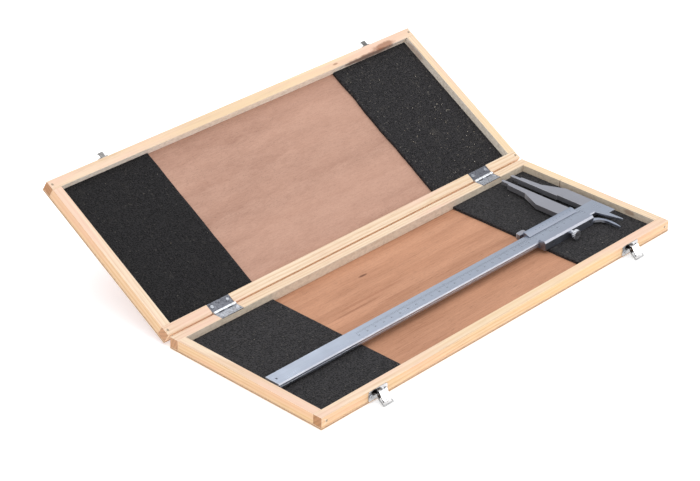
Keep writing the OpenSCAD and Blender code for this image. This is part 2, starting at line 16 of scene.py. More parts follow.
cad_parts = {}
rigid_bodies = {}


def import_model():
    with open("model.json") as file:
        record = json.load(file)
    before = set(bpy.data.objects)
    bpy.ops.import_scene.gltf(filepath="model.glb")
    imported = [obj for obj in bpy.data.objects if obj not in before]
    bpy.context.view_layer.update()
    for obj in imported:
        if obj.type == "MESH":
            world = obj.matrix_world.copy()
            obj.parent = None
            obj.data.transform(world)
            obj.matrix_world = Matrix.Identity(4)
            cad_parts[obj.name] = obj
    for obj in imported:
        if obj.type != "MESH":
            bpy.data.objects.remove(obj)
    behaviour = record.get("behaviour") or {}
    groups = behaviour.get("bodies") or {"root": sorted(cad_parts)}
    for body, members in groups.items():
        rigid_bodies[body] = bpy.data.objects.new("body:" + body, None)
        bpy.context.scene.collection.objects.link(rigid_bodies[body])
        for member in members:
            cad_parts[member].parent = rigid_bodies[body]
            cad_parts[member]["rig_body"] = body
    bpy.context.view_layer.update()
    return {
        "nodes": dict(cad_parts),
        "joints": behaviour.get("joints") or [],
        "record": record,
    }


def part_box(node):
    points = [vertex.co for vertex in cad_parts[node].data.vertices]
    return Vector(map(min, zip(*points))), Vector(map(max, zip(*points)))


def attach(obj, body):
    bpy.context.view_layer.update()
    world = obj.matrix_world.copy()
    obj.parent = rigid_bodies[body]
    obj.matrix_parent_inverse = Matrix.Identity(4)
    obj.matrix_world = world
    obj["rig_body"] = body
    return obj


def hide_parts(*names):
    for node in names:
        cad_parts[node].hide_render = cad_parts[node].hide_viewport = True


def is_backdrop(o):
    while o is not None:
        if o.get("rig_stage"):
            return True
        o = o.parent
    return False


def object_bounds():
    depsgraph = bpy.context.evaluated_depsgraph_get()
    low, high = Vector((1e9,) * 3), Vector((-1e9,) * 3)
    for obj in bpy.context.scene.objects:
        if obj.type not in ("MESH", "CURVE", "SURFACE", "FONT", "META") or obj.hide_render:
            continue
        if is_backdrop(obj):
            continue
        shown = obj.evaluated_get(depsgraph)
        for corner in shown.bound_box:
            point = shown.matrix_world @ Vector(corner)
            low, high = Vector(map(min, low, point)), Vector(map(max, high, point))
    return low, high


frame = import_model()
nodes = frame["nodes"]
scene = bpy.context.scene
MM = 0.001
body_of = {n: b for b, members in frame["record"]["behaviour"]["bodies"].items() for n in members}
slot_of = {s["node"]: s["material_slot"] for s in frame["record"]["subparts"]}

# %% [markdown]
# The lid stands open, so its own directions are turned. A pattern such as wood grain is easier to
# lay out on the closed lid. These two matrices turn the lid shut and open again about its hinge.

# %% Turn the lid shut and open
hinge = next(j for j in frame["joints"] if j["name"] == "lid_hinge")
LID_OPEN = math.radians(149.3)
hinge_at = Vector(hinge["pos_m"])
open_lid = (Matrix.Translation(hinge_at) @ Matrix.Rotation(-LID_OPEN, 4, "X")
            @ Matrix.Translation(-hinge_at))
shut_lid = open_lid.inverted()


def linked(name, data):
    """A new object at the origin, in the scene."""
    made = bpy.data.objects.new(name, data)
    scene.collection.objects.link(made)
    return made


def in_lid(node):
    return body_of[node] == "lid"


def closed_box(node):
    """Lowest and highest corner of a node, with the lid turned shut."""
    turn = shut_lid if in_lid(node) else Matrix.Identity(4)
    points = [turn @ v.co for v in nodes[node].data.vertices]
    return (Vector(min(p[i] for p in points) for i in range(3)),
            Vector(max(p[i] for p in points) for i in range(3)))


print("closed lid front rail:", [round(v / MM, 1) for c in closed_box("lid_front_rail") for v in c])

# %% [markdown]
# ## Camera
# The picture is taken from the front left, looking down about 29 degrees, with a long lens that
# keeps the sides of the case almost parallel.

# %% Camera
AZIMUTH, ELEVATION, ROLL = (math.radians(a) for a in (-47.83, 29.09, 1.5))
CAMERA_AIM = Vector((0.0017, 0.0993, 0.0061))
CAMERA_DISTANCE = 2.016
LENS = 117.5


def camera_turn(azimuth, elevation, roll):
    back = Vector((math.sin(azimuth) * math.cos(elevation),
                   -math.cos(azimuth) * math.cos(elevation), math.sin(elevation)))
    right = Vector((0, 0, 1)).cross(back).normalized()
    up = back.cross(right)
    turned_right = right * math.cos(roll) + up * math.sin(roll)
    turned_up = up * math.cos(roll) - right * math.sin(roll)
    return Matrix((turned_right, turned_up, back)).transposed()


camera_data = bpy.data.cameras.new("camera")
camera_data.sensor_width = 36
camera_data.lens = LENS
camera_data.shift_x, camera_data.shift_y = 0.0029, -0.001
camera = linked("camera", camera_data)
turn = camera_turn(AZIMUTH, ELEVATION, ROLL)
camera.matrix_world = (Matrix.Translation(CAMERA_AIM + turn @ Vector((0, 0, CAMERA_DISTANCE)))
                       @ turn.to_4x4())
scene.camera = camera
print("camera at", [round(v, 3) for v in camera.matrix_world.translation])

# %% [markdown]
# ## Light
# A studio table for catalogue pictures: a white floor, a big soft box overhead and an even white
# surround, so that shadows stay faint and the floor runs out to white.

# %% Light and floor
scene.view_settings.view_transform = "Standard"
world = bpy.data.worlds.new("studio")
scene.world = world
world.use_nodes = True
surround = world.node_tree.nodes["Background"]
surround.inputs["Color"].default_value = (0.93, 0.96, 1.0, 1)
surround.inputs["Strength"].default_value = 0.78


def softbox(name, place, aim, size, power, colour=(1, 1, 1)):
    light = bpy.data.lights.new(name, "AREA")
    light.shape, light.size, light.size_y = "RECTANGLE", size[0], size[1]
    light.energy, light.color = power, colour
    toward = (Vector(aim) - Vector(place)).to_track_quat("-Z", "Y")
    linked(name, light).matrix_world = (Matrix.Translation(Vector(place))
                                        @ toward.to_matrix().to_4x4())


softbox("overhead", (0.1, 0.2, 1.9), (0, 0.05, 0), (2.4, 2.0), 20)
softbox("front_left", (-1.5, -1.3, 0.9), (0, 0, 0), (1.2, 0.9), 7, (1, 0.98, 0.95))
softbox("front_right", (1.5, -1.5, 0.85), (0, 0, 0), (1.5, 1.1), 10)
softbox("back", (0.9, 1.9, 1.1), (0, 0.1, 0), (1.6, 0.8), 5, (0.93, 0.97, 1))

FLOOR_HALF = 8
FLOOR_DROP = 0.0002
corners = [(x * FLOOR_HALF, y * FLOOR_HALF, 0) for x, y in ((-1, -1), (1, -1), (1, 1), (-1, 1))]
floor_mesh = bpy.data.meshes.new("floor")
floor_mesh.from_pydata(corners, [], [(0, 1, 2, 3)])
floor = linked("floor", floor_mesh)
floor.location.z = -FLOOR_DROP
paper = bpy.data.materials.new("white_paper")
paper.use_nodes = True
sheet = paper.node_tree.nodes["Principled BSDF"]
for label, value in (("Base Color", (0.9, 0.9, 0.9, 1)), ("Roughness", 0.9),
                     ("Emission Color", (1, 1, 1, 1)), ("Emission Strength", 0.35)):
    sheet.inputs[label].default_value = value
floor_mesh.materials.append(paper)
floor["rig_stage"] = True

# %% [markdown]
# ## Material kit
# A material here is a Principled shader plus node groups. The groups hold the effects that several
# materials share: wood grain, brushed metal, mottled plating, foam cells and a mask for edges.
# Each group has named inputs, is built once, and gives out only colours, masks and heights.

# %% Small helpers for node trees
class Tree:
    """Adds nodes to a tree and joins them, with short calls."""

    def __init__(self, tree):
        self.tree, self.at = tree, 0

    def node(self, kind, **settings):
        made = self.tree.nodes.new(kind)
        self.at += 1
        made.location = (self.at * 60, -self.at * 40)
        inputs = settings.pop("inputs", {})
        for key, value in settings.items():
            setattr(made, key, value)
        for key, value in inputs.items():
            self.join(value, made.inputs[key])
        return made

    def fill(self, made, **inputs):
        for key, value in spaced(inputs).items():
            self.join(value, made.inputs[key])

    def join(self, value, socket):
        """Links a socket's value, or sets a plain one. A plain colour gets its alpha here."""
        if isinstance(value, bpy.types.NodeSocket):
            self.tree.links.new(value, socket)
        elif socket.type == "RGBA":
            socket.default_value = (*value, 1)
        else:
            socket.default_value = value

    def math(self, operation, a, b=0.0, clamp=False):
        return self.node("ShaderNodeMath", operation=operation, use_clamp=clamp,
                         inputs={0: a, 1: b}).outputs[0]

    def vector(self, operation, a, b=(0, 0, 0)):
        return self.node("ShaderNodeVectorMath", operation=operation,
                         inputs={0: a, 1: b}).outputs[0]

    add, sub = partialmethod(math, "ADD"), partialmethod(math, "SUBTRACT")
    mul, div = partialmethod(math, "MULTIPLY"), partialmethod(math, "DIVIDE")
    most, root = partialmethod(math, "MAXIMUM"), partialmethod(math, "SQRT")
    vadd, vsub = partialmethod(vector, "ADD"), partialmethod(vector, "SUBTRACT")
    vmul, vdiv = partialmethod(vector, "MULTIPLY"), partialmethod(vector, "DIVIDE")
    sizes = partialmethod(vector, "ABSOLUTE")

    def split(self, vector):
        return self.node("ShaderNodeSeparateXYZ", inputs={0: vector}).outputs

    def xyz(self, **parts):
        return self.node("ShaderNodeCombineXYZ", inputs=parts).outputs[0]

    def noise(self, vector, scale, detail=3.0, roughness=0.55):
        return self.node("ShaderNodeTexNoise", inputs={"Vector": vector, "Scale": scale,
                                                       "Detail": detail,
                                                       "Roughness": roughness}).outputs["Fac"]

    def spread(self, value, low, high, to_low=0.0, to_high=1.0):
        """value from low to high becomes to_low to to_high, eased and clamped."""
        return self.node("ShaderNodeMapRange", interpolation_type="SMOOTHSTEP",
                         inputs={"Value": value, "From Min": low, "From Max": high,
                                 "To Min": to_low, "To Max": to_high}).outputs["Result"]

    def turned(self, vector, angles, kind="POINT"):
        return self.node("ShaderNodeMapping", vector_type=kind,
                         inputs={"Vector": vector, "Rotation": angles}).outputs[0]

    def mix(self, factor, a, b):
        """a where factor is 0, b where it is 1."""
        made = self.node("ShaderNodeMix", data_type="RGBA", clamp_factor=True)
        colour_a, colour_b = [s for s in made.inputs if s.type == "RGBA"]
        for socket, value in ((made.inputs["Factor"], factor), (colour_a, a), (colour_b, b)):
            self.join(value, socket)
        return next(s for s in made.outputs if s.type == "RGBA")


def spaced(inputs):
    """Keyword names with _ turned into the spaces that socket names have."""
    return {label.replace("_", " "): value for label, value in inputs.items()}


KINDS = {"float": "NodeSocketFloat", "colour": "NodeSocketColor", "vector": "NodeSocketVector"}
VECTORS = ("Point", "Normal", "Along")
ZERO = (0.0, 0.0, 0.0)


def new_group(name, outputs, **inputs):
    """A shader group. A number is a float input; a tuple is a colour, or a vector if it is
    called Point, Normal or Along. The outputs are Colour, and floats."""
    group = bpy.data.node_groups.new(name, "ShaderNodeTree")
    for label, default in spaced(inputs).items():
        kind = ("float" if isinstance(default, float)
                else "vector" if label in VECTORS else "colour")
        socket = group.interface.new_socket(label, in_out="INPUT", socket_type=KINDS[kind])
        socket.default_value = (*default, 1) if kind == "colour" else default
    for label in outputs:
        kind = "colour" if label == "Colour" else "float"
        group.interface.new_socket(label, in_out="OUTPUT", socket_type=KINDS[kind])
    tree = Tree(group)
    return group, tree, tree.node("NodeGroupInput").outputs, tree.node("NodeGroupOutput").inputs


print("tree helpers ready")

# %% [markdown]
# Sawn pine shows long streaks on its faces and curved rings on its sawn ends. Both come from one
# solid pattern: rings round an axis that lies some way off the rail, cut by the rail's faces.
# The group takes a point with the grain along X, so the same rings run on from face to face.

# %% Wood grain group
grain_group, t, g_in, g_out = new_group(
    "wood_grain", ("Colour", "Height", "Streak"), Point=ZERO, Ring_Width=0.004, Ring_Strength=0.5,
    Fibre_Strength=0.5, Seed=0.0, Light=(0.9, 0.65, 0.4), Dark=(0.7, 0.42, 0.2),
    Pore=(0.4, 0.2, 0.1))
seeded = t.xyz(X=t.mul(g_in["Seed"], 0.37), Y=t.mul(g_in["Seed"], 0.011),
               Z=t.mul(g_in["Seed"], 0.007))
at = t.vadd(g_in["Point"], seeded)
slow = t.vmul(at, (3.0, 22.0, 22.0))
wander = t.sub(t.noise(slow, 1.0, 2.0), 0.5)
parts = t.split(at)
off_y = t.add(parts["Y"], 0.028)
off_z = t.add(parts["Z"], 0.041)
radius = t.root(t.add(t.mul(off_y, off_y), t.mul(off_z, off_z)))
radius = t.add(radius, t.mul(wander, 0.012))
ring = t.math("FRACT", t.div(radius, g_in["Ring Width"]))
late = t.spread(ring, 0.25, 0.93)
late = t.mul(late, t.spread(ring, 1.0, 0.95))
fine = t.vmul(at, (14.0, 900.0, 900.0))
fibre = t.noise(fine, 1.0, 4.0, 0.6)
broad = t.noise(t.vmul(at, (5.0, 110.0, 110.0)), 1.0, 3.0)
pores = t.noise(t.vmul(at, (60.0, 2300.0, 2300.0)), 1.0, 1.0)
pore = t.spread(pores, 0.60, 0.72)
shade = t.add(t.mul(late, g_in["Ring Strength"]), t.mul(t.spread(fibre, 0.3, 0.75),
                                                        t.mul(g_in["Fibre Strength"], 0.55)))
shade = t.add(shade, t.mul(t.sub(broad, 0.5), 0.9), clamp=True)
wood = t.mix(shade, g_in["Light"], g_in["Dark"])
wood = t.mix(t.mul(pore, t.mul(g_in["Fibre Strength"], 0.6)), wood, g_in["Pore"])
t.join(wood, g_out["Colour"])
height = t.add(t.mul(fibre, 0.6), t.mul(late, 0.25))
t.join(t.sub(height, t.mul(pore, 0.6)), g_out["Height"])
t.join(shade, g_out["Streak"])
print("wood group:", len(grain_group.nodes), "nodes")

# %% [markdown]
# Eased edges catch light and rub pale, and the finishes paint them paler: partly wear, partly a
# painted highlight. On a box-shaped piece a flat face looks straight along one axis, and a rounded
# edge doesn't, so the largest part of the normal tells them apart.

# %% Edge mask and smudge groups
edge_group, t, g_in, g_out = new_group("edge_mask", ("Mask",), Normal=ZERO, Start=0.97, End=0.85)
parts = t.split(t.sizes(g_in["Normal"]))
largest = t.most(t.most(parts["X"], parts["Y"]), parts["Z"])
t.join(t.spread(largest, g_in["Start"], g_in["End"]), g_out["Mask"])

smudge_group, t, g_in, g_out = new_group("smudges", ("Soft",), Point=ZERO, Size=0.02, Seed=0.0)
at = t.vadd(g_in["Point"], t.xyz(X=g_in["Seed"]))
scale = t.div(1.0, g_in["Size"])
t.join(t.spread(t.noise(at, scale, 4.0, 0.6), 0.35, 0.7), g_out["Soft"])
print("edge and smudge groups ready")

# %% [markdown]
# The caliper is ground steel under satin chrome: a fine scratch pattern that runs one way, with
# slightly uneven sheen. Plated hinges and latches are mottled in patches instead.

# %% Metal groups
brushed_group, t, g_in, g_out = new_group(
    "brushed_metal", ("Colour", "Roughness", "Height"), Point=ZERO, Along=(6.0, 1600.0, 1600.0),
    Tint=(0.6, 0.62, 0.66), Dull=(0.4, 0.42, 0.46), Rough=0.3, Seed=0.0)
at = t.vadd(t.vmul(g_in["Point"], g_in["Along"]), t.xyz(X=g_in["Seed"], Y=g_in["Seed"]))
scratch = t.noise(at, 1.0, 3.0, 0.7)
cloud = t.noise(g_in["Point"], 55.0, 3.0)
t.join(t.mix(t.add(t.mul(scratch, 0.5), t.mul(cloud, 0.35)), g_in["Tint"], g_in["Dull"]),
       g_out["Colour"])
t.join(t.add(g_in["Rough"], t.add(t.mul(t.sub(scratch, 0.5), 0.22),
                                  t.mul(t.sub(cloud, 0.5), 0.16))), g_out["Roughness"])
t.join(scratch, g_out["Height"])

plated_group, t, g_in, g_out = new_group(
    "mottled_plating", ("Colour", "Roughness", "Height"), Point=ZERO, Spot_Size=0.0012,
    Tint=(0.6, 0.6, 0.6), Dark=(0.3, 0.3, 0.3), Rough=0.3)
scale = t.div(1.0, g_in["Spot Size"])
spots = t.noise(g_in["Point"], scale, 4.0, 0.65)
patch = t.noise(g_in["Point"], t.mul(scale, 0.25), 2.0)
dark = t.mul(t.spread(spots, 0.42, 0.68), t.spread(patch, 0.3, 0.65, 0.35, 1.0))
t.join(t.mix(dark, g_in["Tint"], g_in["Dark"]), g_out["Colour"])
t.join(t.add(g_in["Rough"], t.mul(dark, 0.25)), g_out["Roughness"])
t.join(spots, g_out["Height"])
print("metal groups ready")

# %% [markdown]
# The pads are open-cell foam. Close up it is a mass of round cells with thin walls: a Voronoi
# pattern gives the cells, and a broader one makes some patches a little greyer with wood dust.

# %% Foam group
foam_group, t, g_in, g_out = new_group(
    "foam_cells", ("Colour", "Height"), Point=ZERO, Cell_Size=0.0013, Light=(0.09, 0.09, 0.09),
    Dark=(0.012, 0.012, 0.013), Dust=(0.3, 0.27, 0.22), Dust_Amount=0.3)
scale = t.div(1.0, g_in["Cell Size"])
cells = t.node("ShaderNodeTexVoronoi", feature="F1",
               inputs={"Vector": g_in["Point"], "Scale": scale}).outputs["Distance"]
uneven = t.noise(g_in["Point"], t.mul(scale, 0.35), 3.0, 0.6)
cell = t.add(t.spread(cells, 0.1, 0.75), t.mul(t.sub(uneven, 0.5), 0.9), clamp=True)
foam = t.mix(cell, g_in["Dark"], g_in["Light"])
dusty = t.spread(t.noise(g_in["Point"], 70.0, 5.0, 0.7), 0.55, 0.8)
grit = t.spread(t.noise(g_in["Point"], t.mul(scale, 0.6), 1.0), 0.66, 0.72)
foam = t.mix(t.mul(g_in["Dust Amount"], t.add(t.mul(dusty, 0.25), t.mul(grit, 0.6))), foam,
             g_in["Dust"])
t.join(foam, g_out["Colour"])
t.join(cell, g_out["Height"])
print("foam group ready")

# %% [markdown]
# ## Finishes
# Each finish below is one material: a Principled shader fed by the groups. Pieces of the lid use
# the same finish with the pattern turned by the hinge angle, so the grain follows the lid.

# %% Start a material
def start_material(name, lid=False):
    """A material with a Principled shader, and the piece's own point and normal.

    For the lid both are turned as if it were shut."""
    material = bpy.data.materials.new(name)
    material.use_nodes = True
    material.node_tree.nodes.clear()
    t = Tree(material.node_tree)
    shader = t.node("ShaderNodeBsdfPrincipled")
    output = t.node("ShaderNodeOutputMaterial")
    t.join(shader.outputs["BSDF"], output.inputs["Surface"])
    point = t.node("ShaderNodeTexCoord").outputs["Object"]
    normal = t.node("ShaderNodeNewGeometry").outputs["Normal"]
    if lid:
        shut = (LID_OPEN, 0, 0)
        point = t.turned(t.vsub(point, tuple(hinge_at)), shut)
        point = t.vadd(point, tuple(hinge_at))
        normal = t.turned(normal, shut, "VECTOR")
    return material, t, shader, point, normal


def use_group(t, group, **inputs):
    return t.node("ShaderNodeGroup", node_tree=group, inputs=spaced(inputs)).outputs


def darker(colour, share):
    return tuple(c * share for c in colour)


def bump(t, shader, height, strength, distance):
    made = t.node("ShaderNodeBump", inputs={"Height": height, "Distance": distance,
                                            "Strength": strength})
    t.fill(shader, Normal=made.outputs["Normal"])


def spot_mask(t, point, centre, half_size, soft=0.35, wobble=0.35, scale=120.0):
    """1 inside an egg-shaped patch round centre, 0 outside it, with an uneven rim."""
    apart = t.vdiv(t.vsub(point, centre), half_size)
    length = t.node("ShaderNodeVectorMath", operation="LENGTH", inputs={0: apart})
    uneven = t.mul(t.sub(t.noise(point, scale, 4.0, 0.65), 0.5), wobble * 4)
    return t.spread(t.add(length.outputs["Value"], uneven), 1.0 + soft, 1.0 - soft)


print("material helpers ready")

# %% [markdown]
# Pine: pale cream, with soft darker lines. The sawn ends soak up light and look red-brown, the
# inner walls are greyer and rougher than the planed rims and painted lighter as painted light, the
# outside faces carry painted shade, and one rail has a strip of bark left on.

# %% Pine
PINE_LIGHT = (0.82, 0.655, 0.485)
PINE_DARK = (0.65, 0.43, 0.26)
PINE_PINK = (0.79, 0.52, 0.41)
PINE_YELLOW = (0.80, 0.61, 0.37)
# outside faces of the rails are painted darker and more saturated: painted shade
PAINTED_SIDE_SHADE = (1.0, 0.885, 0.72)
PINE_PORE = (0.42, 0.22, 0.09)
END_GRAIN = (0.42, 0.20, 0.09)
# inner walls: greyer sawn wood, painted lighter as painted light; the lid's walls lighter still
INNER_WOOD_LIT = (0.74, 0.66, 0.55)
LID_INNER_WOOD_LIT = (0.97, 0.92, 0.84)


def pine(name, seed, lid, across, inner_limits, painted_side_shading, marks=()):
    """Pine for one rail. across: the grain runs along Y, not X.

    inner_limits: half the cavity's size in X and Y. marks: centre, half size, tint, strength."""
    material, t, shader, point, normal = start_material(name, lid)
    grain_point = t.turned(point, (0, 0, math.radians(90))) if across else point
    wood = use_group(t, grain_group, Point=grain_point, Seed=float(seed), Light=PINE_LIGHT,
                     Dark=PINE_DARK, Pore=PINE_PORE, Ring_Width=0.0031, Ring_Strength=0.55,
                     Fibre_Strength=0.55)
    n = t.split(t.sizes(normal))
    end = t.spread(n["Y" if across else "X"], 0.75, 0.95)
    rings = t.mix(t.mul(wood["Streak"], 0.8), END_GRAIN, darker(END_GRAIN, 0.5))
    flush = t.noise(t.vmul(grain_point, (9.0, 70.0, 70.0)), 1.0, 2.0)
    colour = t.mix(t.spread(flush, 0.45, 0.7, 0.0, 0.65), wood["Colour"], PINE_PINK)
    sap = t.noise(t.vmul(grain_point, (5.0, 45.0, 45.0)), 1.0, 3.0)
    colour = t.mix(t.spread(sap, 0.5, 0.68, 0.0, 0.6), colour, PINE_YELLOW)
    colour = t.mix(t.mul(end, 0.85), colour, rings)
    # walls that face into the case are greyer, rougher sawn wood, painted lighter than their shade
    # as painted light, and lighter still on the lid
    p = t.split(t.sizes(point))
    edge = 0.4 * MM
    within = t.mul(*(t.spread(p[axis], limit + edge, limit - edge * 0.2)
                     for axis, limit in zip("XY", inner_limits)))
    sides = t.most(n["X"], n["Y"])
    wall = t.mul(within, t.spread(sides, 0.6, 0.9))
    worn = t.noise(t.vmul(point, (240.0, 240.0, 420.0)), 1.0, 4.0, 0.7)
    inner_wall_lit = LID_INNER_WOOD_LIT if lid else INNER_WOOD_LIT
    inner = t.mix(t.spread(worn, 0.35, 0.7), inner_wall_lit, darker(inner_wall_lit, 0.72))
    # outside faces take the side tint: painted shade on most rails, painted light on the back rails
    painted_side_mask = t.mul(t.spread(sides, 0.6, 0.9), t.sub(1.0, within))
    colour = t.mix(painted_side_mask, colour, t.vmul(colour, painted_side_shading))
    colour = t.mix(t.mul(wall, 0.75), colour, inner)
    # eased edges painted pale: partly wear, partly a painted highlight
    rubbed_and_lit_edge = use_group(t, edge_group, Normal=normal)["Mask"]
    colour = t.mix(t.mul(rubbed_and_lit_edge, 0.45), colour, (0.93, 0.80, 0.62))
    smudge = use_group(t, smudge_group, Point=point, Size=0.03, Seed=float(seed))
    colour = t.mix(t.mul(smudge["Soft"], 0.10), colour, PINE_DARK)
    for centre, half_size, tint, strength in marks:
        mask = spot_mask(t, point, centre, half_size)
        colour = t.mix(t.mul(mask, strength), colour, tint)
    rough = t.add(0.52, t.mul(wood["Streak"], 0.14))
    t.fill(shader, Base_Color=colour, Specular_IOR_Level=0.3,
           Roughness=t.add(rough, t.mul(wall, 0.25), clamp=True))
    bump(t, shader, t.add(wood["Height"], t.mul(t.mul(wall, worn), 2.0)), 0.5, 0.00012)
    return material


print("pine ready")

# %% [markdown]
# Plywood: a thin reddish face veneer over paler layers. The face shows short dark pores that run
# along the case, soft broad bands, and on the tray a knot with a few dark streaks beside it.

# %% Plywood
PLY_LIGHT = (0.525, 0.266, 0.158)
PLY_DARK = (0.33, 0.148, 0.080)
PLY_PALE = (0.68, 0.47, 0.30)


def plywood(name, seed, lid, base_z, thick, light, dark, marks=(), short=1.0):
    material, t, shader, point, normal = start_material(name, lid)
    veneer = t.vmul(point, (short, 1.0, 1.0))
    face = use_group(t, grain_group, Point=veneer, Seed=float(seed), Light=light, Dark=dark,
                     Pore=darker(dark, 0.45), Ring_Width=0.021, Ring_Strength=0.25,
                     Fibre_Strength=0.85)
    colour = face["Colour"]
    bands = t.noise(t.vmul(point, (5.0, 26.0, 26.0)), 1.0, 3.0, 0.6)
    colour = t.mix(t.spread(bands, 0.35, 0.7, 0.0, 0.4), colour, darker(light, 1.28))
    fuzz = t.noise(t.vmul(point, (350.0, 900.0, 900.0)), 1.0, 2.0, 0.7)
    colour = t.mix(t.spread(fuzz, 0.45, 0.75, 0.0, 0.30), colour, dark)
    for centre, half_size, tint, strength in marks:
        mask = spot_mask(t, point, centre, half_size, soft=0.5, wobble=0.25, scale=260.0)
        colour = t.mix(t.mul(mask, strength), colour, tint)
    # the three layers show only on the panel's edges
    n = t.split(t.sizes(normal))
    z = t.split(point)["Z"]
    layer = t.div(t.sub(z, base_z), thick)
    middle = t.mul(t.spread(layer, 0.30, 0.34), t.spread(layer, 0.70, 0.66))
    crumb = t.noise(point, 900.0, 3.0, 0.7)
    edge_colour = t.mix(t.mul(middle, t.spread(crumb, 0.3, 0.7, 0.4, 1.0)), PLY_PALE,
                        darker(PLY_DARK, 0.55))
    colour = t.mix(t.spread(n["Z"], 0.9, 0.6), colour, edge_colour)
    t.fill(shader, Base_Color=colour, Specular_IOR_Level=0.25,
           Roughness=t.add(0.62, t.mul(face["Streak"], 0.15)))
    bump(t, shader, t.add(face["Height"], t.mul(fuzz, 0.6)), 0.4, 0.00010)
    return material


print("plywood ready")

# %% [markdown]
# Foam, and the wood crumbs that saws leave lying on it.

# %% Foam and crumbs
FOAM_LIGHT = (0.043, 0.040, 0.042)
FOAM_DARK = (0.001, 0.001, 0.0015)


def foam(name, lid, dust, tone):
    material, t, shader, point, normal = start_material(name, lid)
    cells = use_group(t, foam_group, Point=point, Dust_Amount=dust, Light=darker(FOAM_LIGHT, tone),
                      Dark=darker(FOAM_DARK, tone))
    t.fill(shader, Base_Color=cells["Colour"], Roughness=0.95, Specular_IOR_Level=0.15,
           Sheen_Weight=0.04, Sheen_Roughness=0.6)
    bump(t, shader, cells["Height"], 0.9, 0.0004)
    return material


def crumb_wood():
    material, t, shader, point, normal = start_material("wood_crumbs")
    tone = t.noise(point, 400.0, 2.0)
    pale = t.mix(t.spread(tone, 0.35, 0.65), (0.50, 0.40, 0.27), (0.88, 0.80, 0.66))
    t.fill(shader, Base_Color=pale, Roughness=0.8)
    return material


print("foam ready")

# %% [markdown]
# Metals. All are the same shader with different groups and values: satin chrome on the caliper,
# zinc on the hinges, bright nickel on the latches, and black paint in the engraved marks.

# %% Metals
JAW_TINT = (0.37, 0.36, 0.385)
# pale colour for eased steel edges: a painted highlight
EDGE_HIGHLIGHT_TINT = (0.78, 0.76, 0.78)
JAW_SOFT = 0.2 * MM        # how far the jaw's finish takes to begin
SLIDER_JAW = 3.4 * MM      # how far behind the beam the sliding jaw's finish begins
beam_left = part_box("caliper_beam")[0].x
beam_back = max(v.co.y for v in nodes["caliper_beam"].data.vertices if v.co.x < beam_left + 1e-5)
# pale colour for the upper side of the hinge barrel: a painted highlight
BARREL_HIGHLIGHT = (0.86, 0.87, 0.89)
# near black, for painted shade behind the levers and on the levers' sides
PAINTED_SHADE_BLACK = (0.035, 0.030, 0.028)


def brushed(name, tint, dull, rough, seed=0.0, edges=0.5, jaw_from=None):
    """jaw_from: the Y behind which the steel is a long jaw, ground but not polished. Its side faces
    are painted dark and less metallic: painted shade.
    """
    material, t, shader, point, normal = start_material(name)
    steel = use_group(t, brushed_group, Point=point, Tint=tint, Dull=dull, Rough=rough, Seed=seed)
    mask = use_group(t, edge_group, Normal=normal, Start=0.985, End=0.9)["Mask"]
    smudge = use_group(t, smudge_group, Point=point, Size=0.018, Seed=seed)
    colour, roughness = steel["Colour"], steel["Roughness"]
    t.fill(shader, Metallic=1.0)
    if jaw_from is not None:
        y = t.split(point)["Y"]
        upright = t.split(t.sizes(normal))["Z"]
        jaw = t.spread(y, jaw_from - JAW_SOFT, jaw_from + JAW_SOFT)
        # the jaw's side faces: painted shade, darker and less metallic
        shaded_flank = t.mul(jaw, t.spread(upright, 0.6, 0.3))
        colour = t.mix(t.mul(jaw, 0.85), colour, JAW_TINT)
        colour = t.mix(t.mul(shaded_flank, 0.75), colour, darker(JAW_TINT, 0.3))
        roughness = t.add(roughness, t.mul(jaw, 0.08))
        t.fill(shader, Metallic=t.sub(1.0, t.mul(shaded_flank, 0.55)))
    # eased edges painted pale: a painted highlight
    colour = t.mix(t.mul(mask, edges), colour, EDGE_HIGHLIGHT_TINT)
    roughness = t.add(roughness, t.mul(mask, 0.22))
    t.fill(shader, Base_Color=t.mix(t.mul(smudge["Soft"], 0.12), colour, dull),
           Roughness=t.add(roughness, t.mul(smudge["Soft"], 0.08)))
    bump(t, shader, steel["Height"], 0.10, 0.00002)
    return material


def plated(name, tint, dark, rough, spot=0.0012, relief=0.15, barrel=None, shaded_pockets=(), painted_dark_sides=0.0):
    """barrel: the rolled edge's radius; its upper side gets a painted highlight. pockets: patches
    behind the levers, painted near black as painted shadow.

    painted_dark_sides: how far the side faces are painted dark, a painted dark reflection."""
    material, t, shader, point, normal = start_material(name)
    skin = use_group(t, plated_group, Point=point, Tint=tint, Dark=dark, Rough=rough,
                     Spot_Size=spot)
    colour = skin["Colour"]
    if barrel is not None:
        # a painted highlight along the upper side of the hinge barrel
        p = t.split(t.vsub(point, tuple(hinge_at)))
        off = t.root(t.add(t.mul(p["Y"], p["Y"]), t.mul(p["Z"], p["Z"])))
        upper = t.spread(p["Z"], barrel * 0.35, barrel * 0.55)
        colour = t.mix(t.mul(t.spread(off, barrel * 1.1, barrel), upper), colour, BARREL_HIGHLIGHT)
    # patches painted near black: painted shadow
    for centre, half_size in shaded_pockets:
        colour = t.mix(spot_mask(t, point, centre, half_size, soft=0.2, wobble=0.05), colour, PAINTED_SHADE_BLACK)
    # side faces painted dark: a painted dark reflection
    if painted_dark_sides:
        n = t.split(normal)
        side = t.most(t.math("ABSOLUTE", n["X"]), n["Y"])
        colour = t.mix(t.mul(t.spread(side, 0.55, 0.8), painted_dark_sides), colour, PAINTED_SHADE_BLACK)
    t.fill(shader, Base_Color=colour, Roughness=skin["Roughness"], Metallic=1.0)
    bump(t, shader, skin["Height"], relief, 0.00005)
    return material


def ink():
    material, t, shader, point, normal = start_material("engraved_black")
    worn = t.noise(point, 2500.0, 2.0)
    black = t.mix(t.spread(worn, 0.45, 0.75), (0.02, 0.022, 0.03), (0.10, 0.11, 0.13))
    t.fill(shader, Base_Color=black, Roughness=0.6)
    return material


